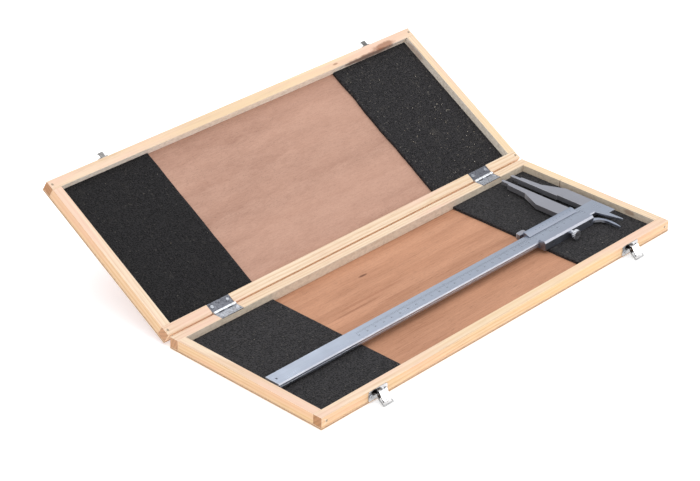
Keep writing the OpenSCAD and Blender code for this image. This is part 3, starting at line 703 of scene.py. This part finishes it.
satin_chrome = brushed("satin_chrome", (0.48, 0.52, 0.60), (0.34, 0.37, 0.44), 0.30,
                       jaw_from=beam_back)
satin_slider = brushed("satin_chrome_slider", (0.46, 0.49, 0.57), (0.33, 0.36, 0.43), 0.32,
                       seed=3.0, jaw_from=beam_back + SLIDER_JAW)
vernier_steel = brushed("vernier_steel", (0.38, 0.42, 0.50), (0.27, 0.30, 0.37), 0.36, seed=5.0,
                        edges=0.4)
ground_steel = brushed("ground_steel", (0.60, 0.60, 0.62), (0.42, 0.42, 0.44), 0.28, seed=7.0)
knob_chrome = plated("bright_chrome", (0.70, 0.71, 0.74), (0.50, 0.51, 0.54), 0.26, 0.004, 0.03)
barrel_r = 1.62 * MM
zinc_tray = plated("zinc_plate", (0.44, 0.45, 0.48), (0.20, 0.205, 0.22), 0.34, 0.0014, 0.3,
                   barrel=barrel_r)
# the lid's leaves: the same zinc painted darker, painted shade
zinc_lid_shaded = plated("zinc_plate_lid_shaded", (0.20, 0.205, 0.23), (0.08, 0.083, 0.095), 0.36, 0.0014, 0.3,
                  barrel=barrel_r)
zinc_bright = plated("zinc_bright", (0.80, 0.81, 0.83), (0.55, 0.56, 0.58), 0.16, 0.003, 0.05)
# patches behind each lever painted near black: painted shadow of the lever on its plate
shaded_pockets = []
for side in ("left", "right"):
    lever_low, lever_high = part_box(side + "_latch_lever")
    middle = (lever_low + lever_high) / 2
    wide = (lever_high.x - lever_low.x) / 2
    shaded_pockets.append(((middle.x - wide, lever_high.y, middle.z + wide * 0.3),
                    (wide * 0.9, 0.004, wide * 0.8)))
nickel_plate = plated("nickel_plate", (0.66, 0.65, 0.65), (0.46, 0.46, 0.46), 0.22, 0.003, 0.05,
                      shaded_pockets=shaded_pockets)
nickel = plated("bright_nickel", (0.84, 0.83, 0.82), (0.62, 0.62, 0.62), 0.18, 0.004, 0.03,
                painted_dark_sides=0.95)
nickel_wire = plated("nickel_wire", (0.50, 0.49, 0.48), (0.34, 0.34, 0.34), 0.2, 0.004, 0.03)
keeper_steel = plated("keeper_steel", (0.24, 0.23, 0.22), (0.12, 0.115, 0.11), 0.3, 0.002, 0.05)
screw_steel = plated("screw_steel", (0.58, 0.60, 0.64), (0.34, 0.35, 0.38), 0.24, 0.002, 0.08)
nail_steel = plated("nail_steel", (0.40, 0.32, 0.24), (0.24, 0.17, 0.12), 0.5, 0.0008, 0.2)
engraved = ink()
print("metals ready:", len(bpy.data.materials), "materials")

# %% [markdown]
# ## Pieces
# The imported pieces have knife-sharp corners, and real ones are eased, so light runs along every
# edge. `eased` copies a node's mesh, merges its loose triangles, rounds the long edges by a given
# width and hides the sharp original. The sizes outside stay exactly as they were.

# %% Copy a node with eased edges
pieces = {}


def dressed(bm, name, material, sharp):
    """The bmesh as a smooth mesh with one material, creased at edges over sharp degrees."""
    mesh = bpy.data.meshes.new(name)
    bm.to_mesh(mesh)
    bm.free()
    mesh.materials.append(material)
    mesh.shade_smooth()
    mesh.set_sharp_from_angle(angle=math.radians(sharp))
    return mesh


def eased(node, name, material, width=0.0, shortest=3 * MM):
    """A node's mesh with its corners sharper than 35 degrees rounded by width."""
    bm = bmesh.new()
    bm.from_mesh(nodes[node].data)
    bmesh.ops.remove_doubles(bm, verts=bm.verts, dist=1e-6)
    bmesh.ops.dissolve_limit(bm, angle_limit=math.radians(0.3), verts=bm.verts, edges=bm.edges)
    if width:
        long_edges = [e for e in bm.edges if e.calc_length() > shortest and e.is_manifold
                      and e.calc_face_angle(0) > math.radians(35)]
        bmesh.ops.bevel(bm, geom=long_edges, offset=width, offset_type="OFFSET", segments=2,
                        profile=0.5, affect="EDGES", clamp_overlap=True)
    bmesh.ops.triangulate(bm, faces=[f for f in bm.faces if len(f.verts) > 4])
    piece = linked(name, dressed(bm, name, material, 40))
    weighted = piece.modifiers.new("even shading", "WEIGHTED_NORMAL")
    weighted.keep_sharp = True
    bake_modifiers(piece)
    settle(piece, node)
    return piece


def evaluated_mesh(made):
    depsgraph = bpy.context.evaluated_depsgraph_get()
    return bpy.data.meshes.new_from_object(made.evaluated_get(depsgraph))


def bake_modifiers(piece):
    """Turns the evaluated object into its plain mesh and drops the modifiers."""
    made = evaluated_mesh(piece)
    piece.modifiers.clear()
    old, piece.data = piece.data, made
    bpy.data.meshes.remove(old)
    made.name = piece.name


def carried(piece, body):
    """The piece rides on a body and joins the list of pieces."""
    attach(piece, body)
    pieces[piece.name] = piece
    return piece


def settle(piece, node):
    """The piece stands for the node: it rides on the node's body, and the node is hidden."""
    carried(piece, body_of[node])
    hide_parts(node)


def keep_node(node, material):
    """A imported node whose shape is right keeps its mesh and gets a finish."""
    mesh = nodes[node].data
    mesh.materials.clear()
    mesh.materials.append(material)
    for polygon in mesh.polygons:
        polygon.material_index = 0


print("piece helpers ready")

# %% [markdown]
# The eight rails: each is its own piece of pine with its own seed, so no two look alike.

# %% Rails
RAIL_EASE = 0.32 * MM
low, high = closed_box("tray_panel")
rail_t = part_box("tray_left_rail")[1].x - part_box("tray_left_rail")[0].x
cavity = (high.x - rail_t, high.y - rail_t)
BARK = (0.16, 0.055, 0.030)
KNOT = (0.26, 0.10, 0.045)
lid_rim, front_y = hinge_at.z, -cavity[1]
rail_marks = {
    "lid_front_rail": [((0.168, front_y, lid_rim + 0.003), (0.036, 0.0018, 0.004), BARK, 0.8),
                       ((0.186, front_y - 0.002, lid_rim), (0.015, 0.0030, 0.003), KNOT, 0.75),
                       ((0.120, front_y - 0.004, lid_rim), (0.003, 0.0010, 0.002), KNOT, 0.6)],
    "tray_right_rail": [((cavity[0], 0.032, 0.007), (0.004, 0.0005, 0.005), BARK, 0.7),
                        ((cavity[0], -0.048, 0.008), (0.004, 0.0060, 0.002), KNOT, 0.45)],
    "lid_right_rail": [((cavity[0], -0.060, lid_rim + 0.004), (0.004, 0.0110, 0.003), KNOT, 0.35)],
}
for seed, node in enumerate(n for n in nodes if n.endswith("_rail")):
    across = "left" in node or "right" in node
    # back rails: outside faces painted lighter, painted light in the dark gap between lid and tray
    tint = (1.2, 1.15, 1.1) if "back" in node else PAINTED_SIDE_SHADE
    wood = pine("pine_" + node, seed * 3 + 1, in_lid(node), across, cavity, tint,
                rail_marks.get(node, ()))
    eased(node, "wood_" + node, wood, RAIL_EASE, shortest=4 * MM)
print("rails:", sum(name.startswith("wood_") for name in pieces))

# %% [markdown]
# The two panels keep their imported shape. The tray's veneer is warmer and has a knot.

# %% Panels
panel_t = closed_box("tray_panel")[1].z
tray_ply = plywood("ply_tray", 4, False, 0.0, panel_t, PLY_LIGHT, PLY_DARK, short=1.6, marks=[
    ((-0.030, 0.052, panel_t), (0.0050, 0.0011, 0.002), (0.14, 0.055, 0.030), 0.85),
    ((-0.078, 0.018, panel_t), (0.030, 0.0012, 0.002), (0.26, 0.10, 0.05), 0.55),
    ((-0.052, 0.024, panel_t), (0.040, 0.0016, 0.002), (0.32, 0.13, 0.07), 0.40),
    ((-0.030, 0.010, panel_t), (0.022, 0.0009, 0.002), (0.26, 0.10, 0.05), 0.40)])
lid_low, lid_high = closed_box("lid_panel")
lid_ply = plywood("ply_lid", 11, True, lid_low.z, lid_high.z - lid_low.z,
                  (0.47, 0.277, 0.203), (0.34, 0.182, 0.128), short=9.0)
keep_node("tray_panel", tray_ply)
keep_node("lid_panel", lid_ply)
print("panel thickness:", round(panel_t / MM, 2), "mm")

# %% [markdown]
# ## Foam pads
# A pad is cut from a sheet with a knife: its free edge wanders a little, the cut rolls over, and
# the top rises and dips by a tenth of a millimetre. Each is a fine grid laid out on the closed
# case. On the lid the grid is turned over and opened with the lid.

# %% Foam pads
GRID = 1.6 * MM
ROLL_OVER = 0.45 * MM


def foam_pad(node, material, seed, wander, free_side):
    """free_side: +1 when the cut edge that shows is at the pad's high X, -1 at its low X."""
    low, high = closed_box(node)
    size = high - low
    nx, ny = round(size.x / GRID), round(size.y / GRID)
    lid = in_lid(node)

    def top_point(i, j):
        u, v = i / nx, j / ny
        x, y = low.x + u * size.x, low.y + v * size.y
        edge = u if free_side > 0 else 1 - u
        drift = (noise.noise((y * 45, seed, 0.3)) * 0.5 + 0.5) * wander
        drift += (noise.noise((y * 260, seed, 4.1)) * 0.5 + 0.5) * wander * 0.25
        x -= free_side * drift * max(0.0, edge - 0.6) / 0.4
        inward = min(i, nx - i, j, ny - j) * GRID
        sink = ROLL_OVER * math.exp(-inward / (0.7 * MM))
        sink += (0.5 + 0.5 * noise.noise((x * 70, y * 70, seed))) * 0.10 * MM
        sink += (0.5 + 0.5 * noise.noise((x * 600, y * 600, seed))) * 0.07 * MM
        z = low.z + sink if lid else high.z - sink
        return Vector((x, y, z))

    bm = bmesh.new()
    top = [[bm.verts.new(top_point(i, j)) for j in range(ny + 1)] for i in range(nx + 1)]
    back_z = high.z if lid else low.z
    for i in range(nx):
        for j in range(ny):
            bm.faces.new((top[i][j], top[i + 1][j], top[i + 1][j + 1], top[i][j + 1]))
    rim = ([top[i][0] for i in range(nx)] + [top[nx][j] for j in range(ny)]
           + [top[i][ny] for i in range(nx, 0, -1)] + [top[0][j] for j in range(ny, 0, -1)])
    levels = [rim]
    for share in (0.35, 0.7, 1.0):
        ring = []
        for v in rim:
            depth = v.co.z + (back_z - v.co.z) * share
            bulge = 0.12 * MM * math.sin(math.pi * share) * noise.noise((v.co.x * 500, v.co.y * 500,
                                                                         seed))
            x = min(max(v.co.x - abs(bulge) * free_side, low.x), high.x)
            ring.append(bm.verts.new((x, v.co.y, depth)))
        levels.append(ring)
    for upper, lower in zip(levels, levels[1:]):
        for k in range(len(rim)):
            m = (k + 1) % len(rim)
            bm.faces.new((upper[k], lower[k], lower[m], upper[m]))
    bm.faces.new(levels[-1][::-1] if not lid else levels[-1])
    bmesh.ops.recalc_face_normals(bm, faces=bm.faces)
    bmesh.ops.triangulate(bm, faces=[f for f in bm.faces if len(f.verts) > 4])
    if lid:
        bmesh.ops.transform(bm, matrix=open_lid, verts=bm.verts)
    pad = linked("foam_" + node, dressed(bm, "foam_" + node, material, 60))
    settle(pad, node)
    return pad


foam_tray = foam("foam_tray", False, 0.2, 0.80)
foam_lid_left = foam("foam_lid_left", True, 0.15, 0.46)
foam_lid_right = foam("foam_lid_right", True, 0.4, 0.70)
pads = [foam_pad("tray_left_pad", foam_tray, 1.5, 0.8 * MM, 1),
        foam_pad("tray_right_pad", foam_tray, 2.5, 1.0 * MM, -1),
        foam_pad("lid_left_pad", foam_lid_left, 3.5, 0.9 * MM, 1),
        foam_pad("lid_right_pad", foam_lid_right, 4.5, 2.4 * MM, -1)]
print("pads:", [len(p.data.polygons) for p in pads], "faces")

# %% [markdown]
# Crumbs: a Geometry Nodes tree scatters thin chips over a pad's upper faces. The seed is fixed, so
# the same crumbs lie there every time, and the lid's right pad caught the most.

# %% Crumb tree
GEO_KINDS = {int: "NodeSocketInt", float: "NodeSocketFloat", tuple: "NodeSocketVector"}


class GeoTree(Tree):
    """The same helper for Geometry Nodes, with named modifier inputs."""

    def __init__(self, name, **inputs):
        tree = bpy.data.node_groups.new(name, "GeometryNodeTree")
        tree.interface.new_socket("Geometry", in_out="INPUT", socket_type="NodeSocketGeometry")
        tree.interface.new_socket("Geometry", in_out="OUTPUT", socket_type="NodeSocketGeometry")
        for label, default in spaced(inputs).items():
            kind = GEO_KINDS[type(default)]
            socket = tree.interface.new_socket(label, in_out="INPUT", socket_type=kind)
            socket.default_value = default
        super().__init__(tree)
        self.inputs = self.node("NodeGroupInput").outputs
        self.result = self.node("NodeGroupOutput").inputs["Geometry"]

    def geo(self, kind, **inputs):
        return self.node("GeometryNode" + kind, inputs=spaced(inputs)).outputs[0]

    def compare(self, a, operation, b):
        return self.node("FunctionNodeCompare", data_type="FLOAT", operation=operation,
                         inputs={0: a, 1: b}).outputs[0]

    def spun(self, rotation, angles):
        """The rotation after a further turn about its own axes."""
        turn = self.node("FunctionNodeEulerToRotation", inputs={0: angles}).outputs[0]
        return self.node("FunctionNodeRotateRotation", rotation_space="LOCAL", inputs={
            "Rotation": rotation, "Rotate By": turn}).outputs[0]

    def finish(self, geometry, material):
        """Every tree ends in Realize Instances and Set Material."""
        real = self.geo("RealizeInstances", Geometry=geometry)
        self.join(self.geo("SetMaterial", Geometry=real, Material=material), self.result)


def grow(name, base, geo, body, slot, **values):
    """Runs a tree on a copy of the base mesh and keeps the plain result, riding on a body."""
    piece = linked(name, base)
    modifier = piece.modifiers.new(name, "NODES")
    modifier.node_group = geo.tree
    sockets = {i.name: i.identifier for i in geo.tree.interface.items_tree if i.in_out == "INPUT"}
    for label, value in spaced(values).items():
        modifier[sockets[label]] = value
    bpy.context.view_layer.update()
    bake_modifiers(piece)
    if not piece.data.materials:
        raise SystemExit("no material on " + name)
    return carried(piece, body)


crumbs = GeoTree("crumbs", Density=900.0, Chip_Length=0.0012, Seed=1, Facing=(0.0, 0.0, 1.0),
                 Heap=ZERO, Heap_Size=1.0)
crumb_in = crumbs.inputs
towards = crumbs.node("ShaderNodeVectorMath", operation="DOT_PRODUCT",
                      inputs={0: crumbs.geo("InputNormal"),
                              1: crumb_in["Facing"]}).outputs["Value"]
upper = crumbs.compare(towards, "GREATER_THAN", 0.9)
from_heap = crumbs.node("ShaderNodeVectorMath", operation="DISTANCE",
                        inputs={0: crumbs.geo("InputPosition"),
                                1: crumb_in["Heap"]}).outputs["Value"]
near = crumbs.div(from_heap, crumb_in["Heap Size"])
thick = crumbs.div(1.0, crumbs.add(1.0, crumbs.math("POWER", near, 4.0)))
scattered = crumbs.node("GeometryNodeDistributePointsOnFaces",
                        inputs={"Mesh": crumb_in["Geometry"], "Selection": upper,
                                "Density": crumbs.mul(crumb_in["Density"], thick),
                                "Seed": crumb_in["Seed"]})
chip = crumbs.geo("MeshIcoSphere", Radius=0.5, Subdivisions=1)


def any_between(low, high):
    return crumbs.node("FunctionNodeRandomValue", data_type="FLOAT_VECTOR", inputs={
        "Min": low, "Max": high, "Seed": crumb_in["Seed"]}).outputs[0]


thin = any_between((0.2, 0.12, 0.08), (1.0, 0.32, 0.2))
size = crumbs.node("ShaderNodeVectorMath", operation="SCALE",
                   inputs={0: thin, "Scale": crumb_in["Chip Length"]}).outputs[0]
spin = any_between((-0.2, -0.2, 0.0), (0.2, 0.2, 6.28))
placed = crumbs.geo("InstanceOnPoints", Points=scattered.outputs["Points"], Instance=chip,
                    Rotation=crumbs.spun(scattered.outputs["Rotation"], spin), Scale=size)
crumbs.finish(placed, crumb_wood())

lid_up = open_lid.to_3x3() @ Vector((0, 0, -1))    # out of the open lid's hollow
heap = open_lid @ Vector((0.185, 0.030, lid_rim + 0.004))
for pad, density, length, seed in zip(pads, (900.0, 1000.0, 900.0, 8500.0),
                                      (0.0010, 0.0010, 0.0010, 0.0015), (3, 5, 7, 12)):
    lid = pad["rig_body"] == "lid"
    made = grow("crumbs_" + pad.name, pad.data.copy(), crumbs, pad["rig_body"], "pine",
                Density=density, Chip_Length=length, Seed=seed,
                Facing=tuple(lid_up) if lid else (0.0, 0.0, 1.0), Heap=tuple(heap),
                Heap_Size=0.055 if density > 5000 else 10.0)
    print(made.name, len(made.data.polygons), "faces")

# %% [markdown]
# ## Hinges and screws
# The hinge leaves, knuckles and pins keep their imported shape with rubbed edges. Screws repeat, so
# one screw is built in Geometry Nodes, with a countersunk head and a cross cut out by a Boolean,
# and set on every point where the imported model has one. The points carry the screw's direction.

# %% Where the screws are
def islands(node):
    """The points of each loose fastener in a node."""
    bm = bmesh.new()
    bm.from_mesh(nodes[node].data)
    bmesh.ops.remove_doubles(bm, verts=bm.verts, dist=1e-6)
    left, found = set(bm.verts), []
    while left:
        group, queue = set(), [next(iter(left))]
        while queue:
            v = queue.pop()
            if v in group:
                continue
            group.add(v)
            queue.extend(e.other_vert(v) for e in v.link_edges)
        left -= group
        found.append([Vector(p) for p in sorted(tuple(v.co) for v in group)])
    bm.free()
    return sorted(found, key=lambda ps: tuple(round(c, 5) for c in ps[0]))


def screw_seats(node, axis):
    """For each fastener: the middle of its head's flat outer face, the axis, the head's radius."""
    axis = Vector(axis).normalized()
    seats = []
    for points in islands(node):
        reach = max(p.dot(axis) for p in points)
        face = [p for p in points if reach - p.dot(axis) < 1e-5]
        middle = sum(face, Vector()) / len(face)
        radius = max((p - middle).length for p in face)
        seats.append((middle, axis, radius))
    return seats


def seat_mesh(name, seats):
    """A point cloud mesh whose points carry the screw's direction and a turn of its slot."""
    mesh = bpy.data.meshes.new(name)
    mesh.from_pydata([tuple(s[0]) for s in seats], [], [])
    # a new attribute moves the others in memory, so each is filled before the next is made
    outward = mesh.attributes.new("outward", "FLOAT_VECTOR", "POINT")
    for i, seat in enumerate(seats):
        outward.data[i].vector = seat[1]
    slot_turn = mesh.attributes.new("slot_turn", "FLOAT", "POINT")
    rng = random.Random(17)
    for i in range(len(seats)):
        slot_turn.data[i].value = rng.uniform(0, math.pi)
    return mesh


lid_front = open_lid.to_3x3() @ Vector((0, -1, 0))
screw_rows = {
    "tray_hinge_screws": (0, 0, 1), "latch_screws": (0, -1, 0),
    "lid_hinge_screws": tuple(lid_up), "keeper_screws": tuple(lid_front),
}
print({n: len(screw_seats(n, a)) for n, a in screw_rows.items()})

# %% The screw tree
screw = GeoTree("cross_head_screw", Head_Radius=0.0017, Head_Height=0.0008, Shank_Radius=0.00075,
                Length=0.006, Slot_Width=0.00042, Slots=2)
radius, height, length, shank_r, slot_wide, slots = (screw.inputs[label] for label in (
    "Head Radius", "Head Height", "Length", "Shank Radius", "Slot Width", "Slots"))
RIM = 0.35    # the rim's share of the head's height; the rest is the cone under it


def sunk(mesh, depth, share):
    return screw.geo("Transform", Geometry=mesh, Translation=screw.xyz(Z=screw.mul(depth, -share)))


head = sunk(screw.geo("MeshCone", Vertices=32, Radius_Top=screw.mul(radius, 0.9),
                      Radius_Bottom=radius, Depth=screw.mul(height, RIM)), height, RIM)
below = sunk(screw.geo("MeshCone", Vertices=32, Radius_Top=radius, Radius_Bottom=shank_r,
                       Depth=screw.mul(height, 1 - RIM)), height, 1.0)
slot_size = screw.xyz(X=screw.mul(radius, 1.25), Y=slot_wide, Z=screw.mul(height, 0.8))
bar = screw.geo("MeshCube", Size=slot_size)
bar_across = screw.geo("Transform", Geometry=bar, Rotation=(0, 0, math.radians(90)))
two = screw.compare(slots, "GREATER_EQUAL", 2)
second = screw.node("GeometryNodeSwitch", input_type="GEOMETRY",
                    inputs={"Switch": two, "True": bar_across}).outputs[0]
joined = screw.node("GeometryNodeMeshBoolean", operation="UNION", solver="EXACT")
screw.join(bar, joined.inputs["Mesh 2"])
screw.join(second, joined.inputs["Mesh 2"])
cut = screw.node("GeometryNodeMeshBoolean", operation="DIFFERENCE", solver="EXACT")
screw.join(head, cut.inputs["Mesh 1"])
screw.join(joined.outputs[0], cut.inputs["Mesh 2"])
shank = sunk(screw.geo("MeshCylinder", Vertices=16, Radius=shank_r, Depth=length), length, 0.5)
whole = screw.node("GeometryNodeJoinGeometry")
for part in (cut.outputs[0], below, shank):
    screw.join(part, whole.inputs[0])
outward, turned = (screw.node("GeometryNodeInputNamedAttribute", data_type=kind,
                              inputs={"Name": label}).outputs[0]
                   for kind, label in (("FLOAT_VECTOR", "outward"), ("FLOAT", "slot_turn")))
aimed = screw.node("FunctionNodeAlignRotationToVector", axis="Z",
                   inputs={"Vector": outward}).outputs[0]
aimed = screw.spun(aimed, screw.xyz(Z=turned))
cloud = screw.geo("MeshToPoints", Mesh=screw.inputs["Geometry"])
driven = screw.geo("InstanceOnPoints", Points=cloud, Instance=whole.outputs[0], Rotation=aimed)
screw.finish(driven, screw_steel)

for node, axis in screw_rows.items():
    seats = screw_seats(node, axis)
    made = grow("cross_" + node, seat_mesh(node + "_seats", seats), screw, body_of[node],
                slot_of[node], Head_Radius=seats[0][2], Length=0.0055)
    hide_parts(node)
    print(made.name, len(seats), "screws, head radius", round(seats[0][2] / MM, 2), "mm")

seats = screw_seats("gib_screws", (0, -1, 0))
made = grow("slotted_gib_screws", seat_mesh("gib_seats", seats), screw, body_of["gib_screws"],
            slot_of["gib_screws"], Head_Radius=seats[0][2], Shank_Radius=seats[0][2] * 0.97,
            Slots=1, Head_Height=0.0010, Length=0.0045, Slot_Width=0.00045)
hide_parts("gib_screws")
print(made.name, len(seats), "screws")

# %% [markdown]
# Hinges, latches and nails. The latch is a stamped plate with two ears, a lever on a pin, and a
# wire bail that swings on the lever and hooks over the keeper when the lid is shut.

# %% Hardware
for node in nodes:
    if "hinge" in node and node.endswith("leaf"):
        # lid leaves take the darker zinc: painted shade
        zinc = zinc_lid_shaded if in_lid(node) else zinc_tray
        eased(node, "zinc_" + node, zinc, 0.12 * MM, shortest=0.6 * MM)
    elif "hinge_pin" in node:
        eased(node, "pin_" + node, zinc_bright)
    elif node.endswith("latch_plate"):
        eased(node, "plated_" + node, nickel_plate, 0.15 * MM, shortest=0.9 * MM)
    elif node.endswith("keeper"):
        eased(node, "plated_" + node, keeper_steel, 0.15 * MM, shortest=0.9 * MM)
    elif node.endswith("latch_lever"):
        eased(node, "plated_" + node, nickel)
    elif node.endswith(("latch_bail", "latch_pin")):
        eased(node, "wire_" + node, nickel_wire)
    elif node.endswith("nails"):
        keep_node(node, nail_steel)
print("hardware pieces:", sum(n.startswith(("zinc_", "pin_", "plated_", "wire_")) for n in pieces))

# %% [markdown]
# ## Caliper
# The beam and fixed jaw are one piece, the slider and sliding jaw another. Ground edges are eased
# by a tenth of a millimetre or two, which makes them shine as thin lines, and the finish paints a
# pale highlight along them as well.

# %% Caliper
eased("caliper_beam", "steel_beam", satin_chrome, 0.18 * MM, shortest=1.2 * MM)
eased("slider_frame", "steel_slider", satin_slider, 0.20 * MM, shortest=1.2 * MM)
eased("vernier_plate", "steel_vernier", vernier_steel, 0.10 * MM)
eased("clamp_screw", "chrome_clamp_screw", knob_chrome, 0.12 * MM, shortest=0.5 * MM)
keep_node("gib_strip", ground_steel)
eased("beam_end_stop", "steel_end_stop", ground_steel)
print("caliper pieces:", [n for n in pieces if n.startswith(("steel_", "chrome_"))])

# %% [markdown]
# The scale repeats, so a Geometry Nodes tree rules it: a line of points one pitch apart, with a
# mark on each that is longer at every fifth and longest at every tenth. The beam has a mark each
# millimetre. The vernier has fifty spaces in 49 mm, so each is a fiftieth of a millimetre less.

# %% Scale tree
ruled = GeoTree("ruled_scale", Marks=301, Pitch=0.001, Line_Width=0.00014, Short=0.0020,
                Middle=0.0027, Long=0.0034, Every=10, Start=ZERO, Slope=0.0, Side=-1.0)
step = ruled.xyz(X=ruled.mul(ruled.inputs["Pitch"], -1.0))
line = ruled.node("GeometryNodeMeshLine", mode="OFFSET", inputs={
    "Count": ruled.inputs["Marks"], "Offset": step}).outputs[0]
index = ruled.geo("InputIndex")


def every(count, yes, no):
    """yes on each count-th mark, no on the others."""
    here = ruled.compare(ruled.math("MODULO", index, count), "LESS_THAN", 0.5)
    return ruled.node("GeometryNodeSwitch", input_type="FLOAT",
                      inputs={"Switch": here, "False": no, "True": yes}).outputs[0]


half = ruled.div(ruled.inputs["Every"], 2.0)
length = every(half, ruled.inputs["Middle"], ruled.inputs["Short"])
length = every(ruled.inputs["Every"], ruled.inputs["Long"], length)
MARK_THICK = 0.02 * MM
mark = ruled.geo("Transform", Geometry=ruled.geo("MeshCube", Size=(1, 1, 1)),
                 Translation=ruled.xyz(Y=ruled.mul(ruled.inputs["Side"], 0.5)))
mark_size = ruled.xyz(X=ruled.inputs["Line Width"], Y=length, Z=MARK_THICK)
marks = ruled.geo("InstanceOnPoints", Points=line, Instance=mark, Scale=mark_size)
marks = ruled.geo("Transform", Geometry=marks, Translation=ruled.inputs["Start"],
                  Rotation=ruled.xyz(X=ruled.inputs["Slope"]))
ruled.finish(marks, engraved)
print("scale tree:", len(ruled.tree.nodes), "nodes")

# %% Rule the beam and the vernier
plate_low, plate_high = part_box("vernier_plate")
READING = 0.0104          # how far the jaws stand apart
VERNIER_IN = 0.0055       # from the vernier's zero to the plate's end
VERNIER_PITCH = 0.049 / 50
vernier_zero = plate_high.x - VERNIER_IN
beam_zero = vernier_zero + READING
beam_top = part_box("caliper_beam")[1].z
edge_y = plate_low.y
# the plate slopes down to its edge over the beam
plate_points = [v.co for v in nodes["vernier_plate"].data.vertices]
crest_y = min(p.y for p in plate_points if plate_high.z - p.z < 1e-6)
edge_z = max(p.z for p in plate_points if p.y - edge_y < 1e-6)
slope = math.atan2(plate_high.z - edge_z, crest_y - edge_y)
nothing = bpy.data.meshes.new("seed_point")
grow("marks_beam", nothing.copy(), ruled, "caliper", slot_of["caliper_beam"],
     Start=(beam_zero, edge_y - 0.0001, beam_top))
grow("marks_vernier", nothing.copy(), ruled, "slider", slot_of["vernier_plate"], Marks=51,
     Pitch=VERNIER_PITCH, Every=10, Short=0.0016, Middle=0.0022, Long=0.0027, Side=1.0,
     Start=(vernier_zero, edge_y + 0.00008, edge_z), Slope=slope)
print("slope of the vernier:", round(math.degrees(slope), 1), "degrees")

# %% [markdown]
# The figures are plain digits, one for each centimetre on the beam and one for each tenth on the
# vernier. They are Text objects turned into one flat mesh for each scale, just proud of the steel.

# %% Figures
PROUD = 0.01 * MM


def figures(name, labels, place, height, body):
    """labels: (text, matrix that puts its middle in place), merged into one mesh."""
    joined = bmesh.new()
    for label, where in labels:
        curve = bpy.data.curves.new("figure", "FONT")
        curve.body, curve.size, curve.resolution_u = label, height * 1.4, 2
        curve.align_x, curve.align_y = "CENTER", "CENTER"
        curve.extrude = PROUD
        text = linked("figure", curve)
        bpy.context.view_layer.update()
        mesh = evaluated_mesh(text)
        mesh.transform(place @ where)
        joined.from_mesh(mesh)
        bpy.data.objects.remove(text)
        bpy.data.curves.remove(curve)
        bpy.data.meshes.remove(mesh)
    mesh = bpy.data.meshes.new(name)
    bmesh.ops.remove_doubles(joined, verts=joined.verts, dist=1e-7)
    joined.to_mesh(mesh)
    joined.free()
    mesh.materials.append(engraved)
    return carried(linked(name, mesh), body)


half_turn = Matrix.Rotation(math.pi, 4, "Z")    # read from the hinge side
beam_digits = [(str(i), Matrix.Translation((i * 0.01, 0, 0))) for i in range(31)]
figures("figures_beam", beam_digits,
        Matrix.Translation((beam_zero, edge_y - 0.0051, beam_top)) @ half_turn,
        0.0016, "caliper")
vernier_digits = [(str(i), Matrix.Translation((i * VERNIER_PITCH * 5, 0, 0))) for i in range(11)]
up_slope = Vector((0, math.cos(slope), math.sin(slope))) * 0.0040
figures("figures_vernier", vernier_digits,
        Matrix.Translation(Vector((vernier_zero, edge_y, edge_z)) + up_slope)
        @ Matrix.Rotation(slope, 4, "X") @ half_turn,
        0.0012, "slider")
print("figures:", [(n, len(pieces[n].data.polygons)) for n in pieces if n.startswith("figures")])

# %% Finish
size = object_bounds()
print("box of the looks:", [[round(v, 4) for v in corner] for corner in size])
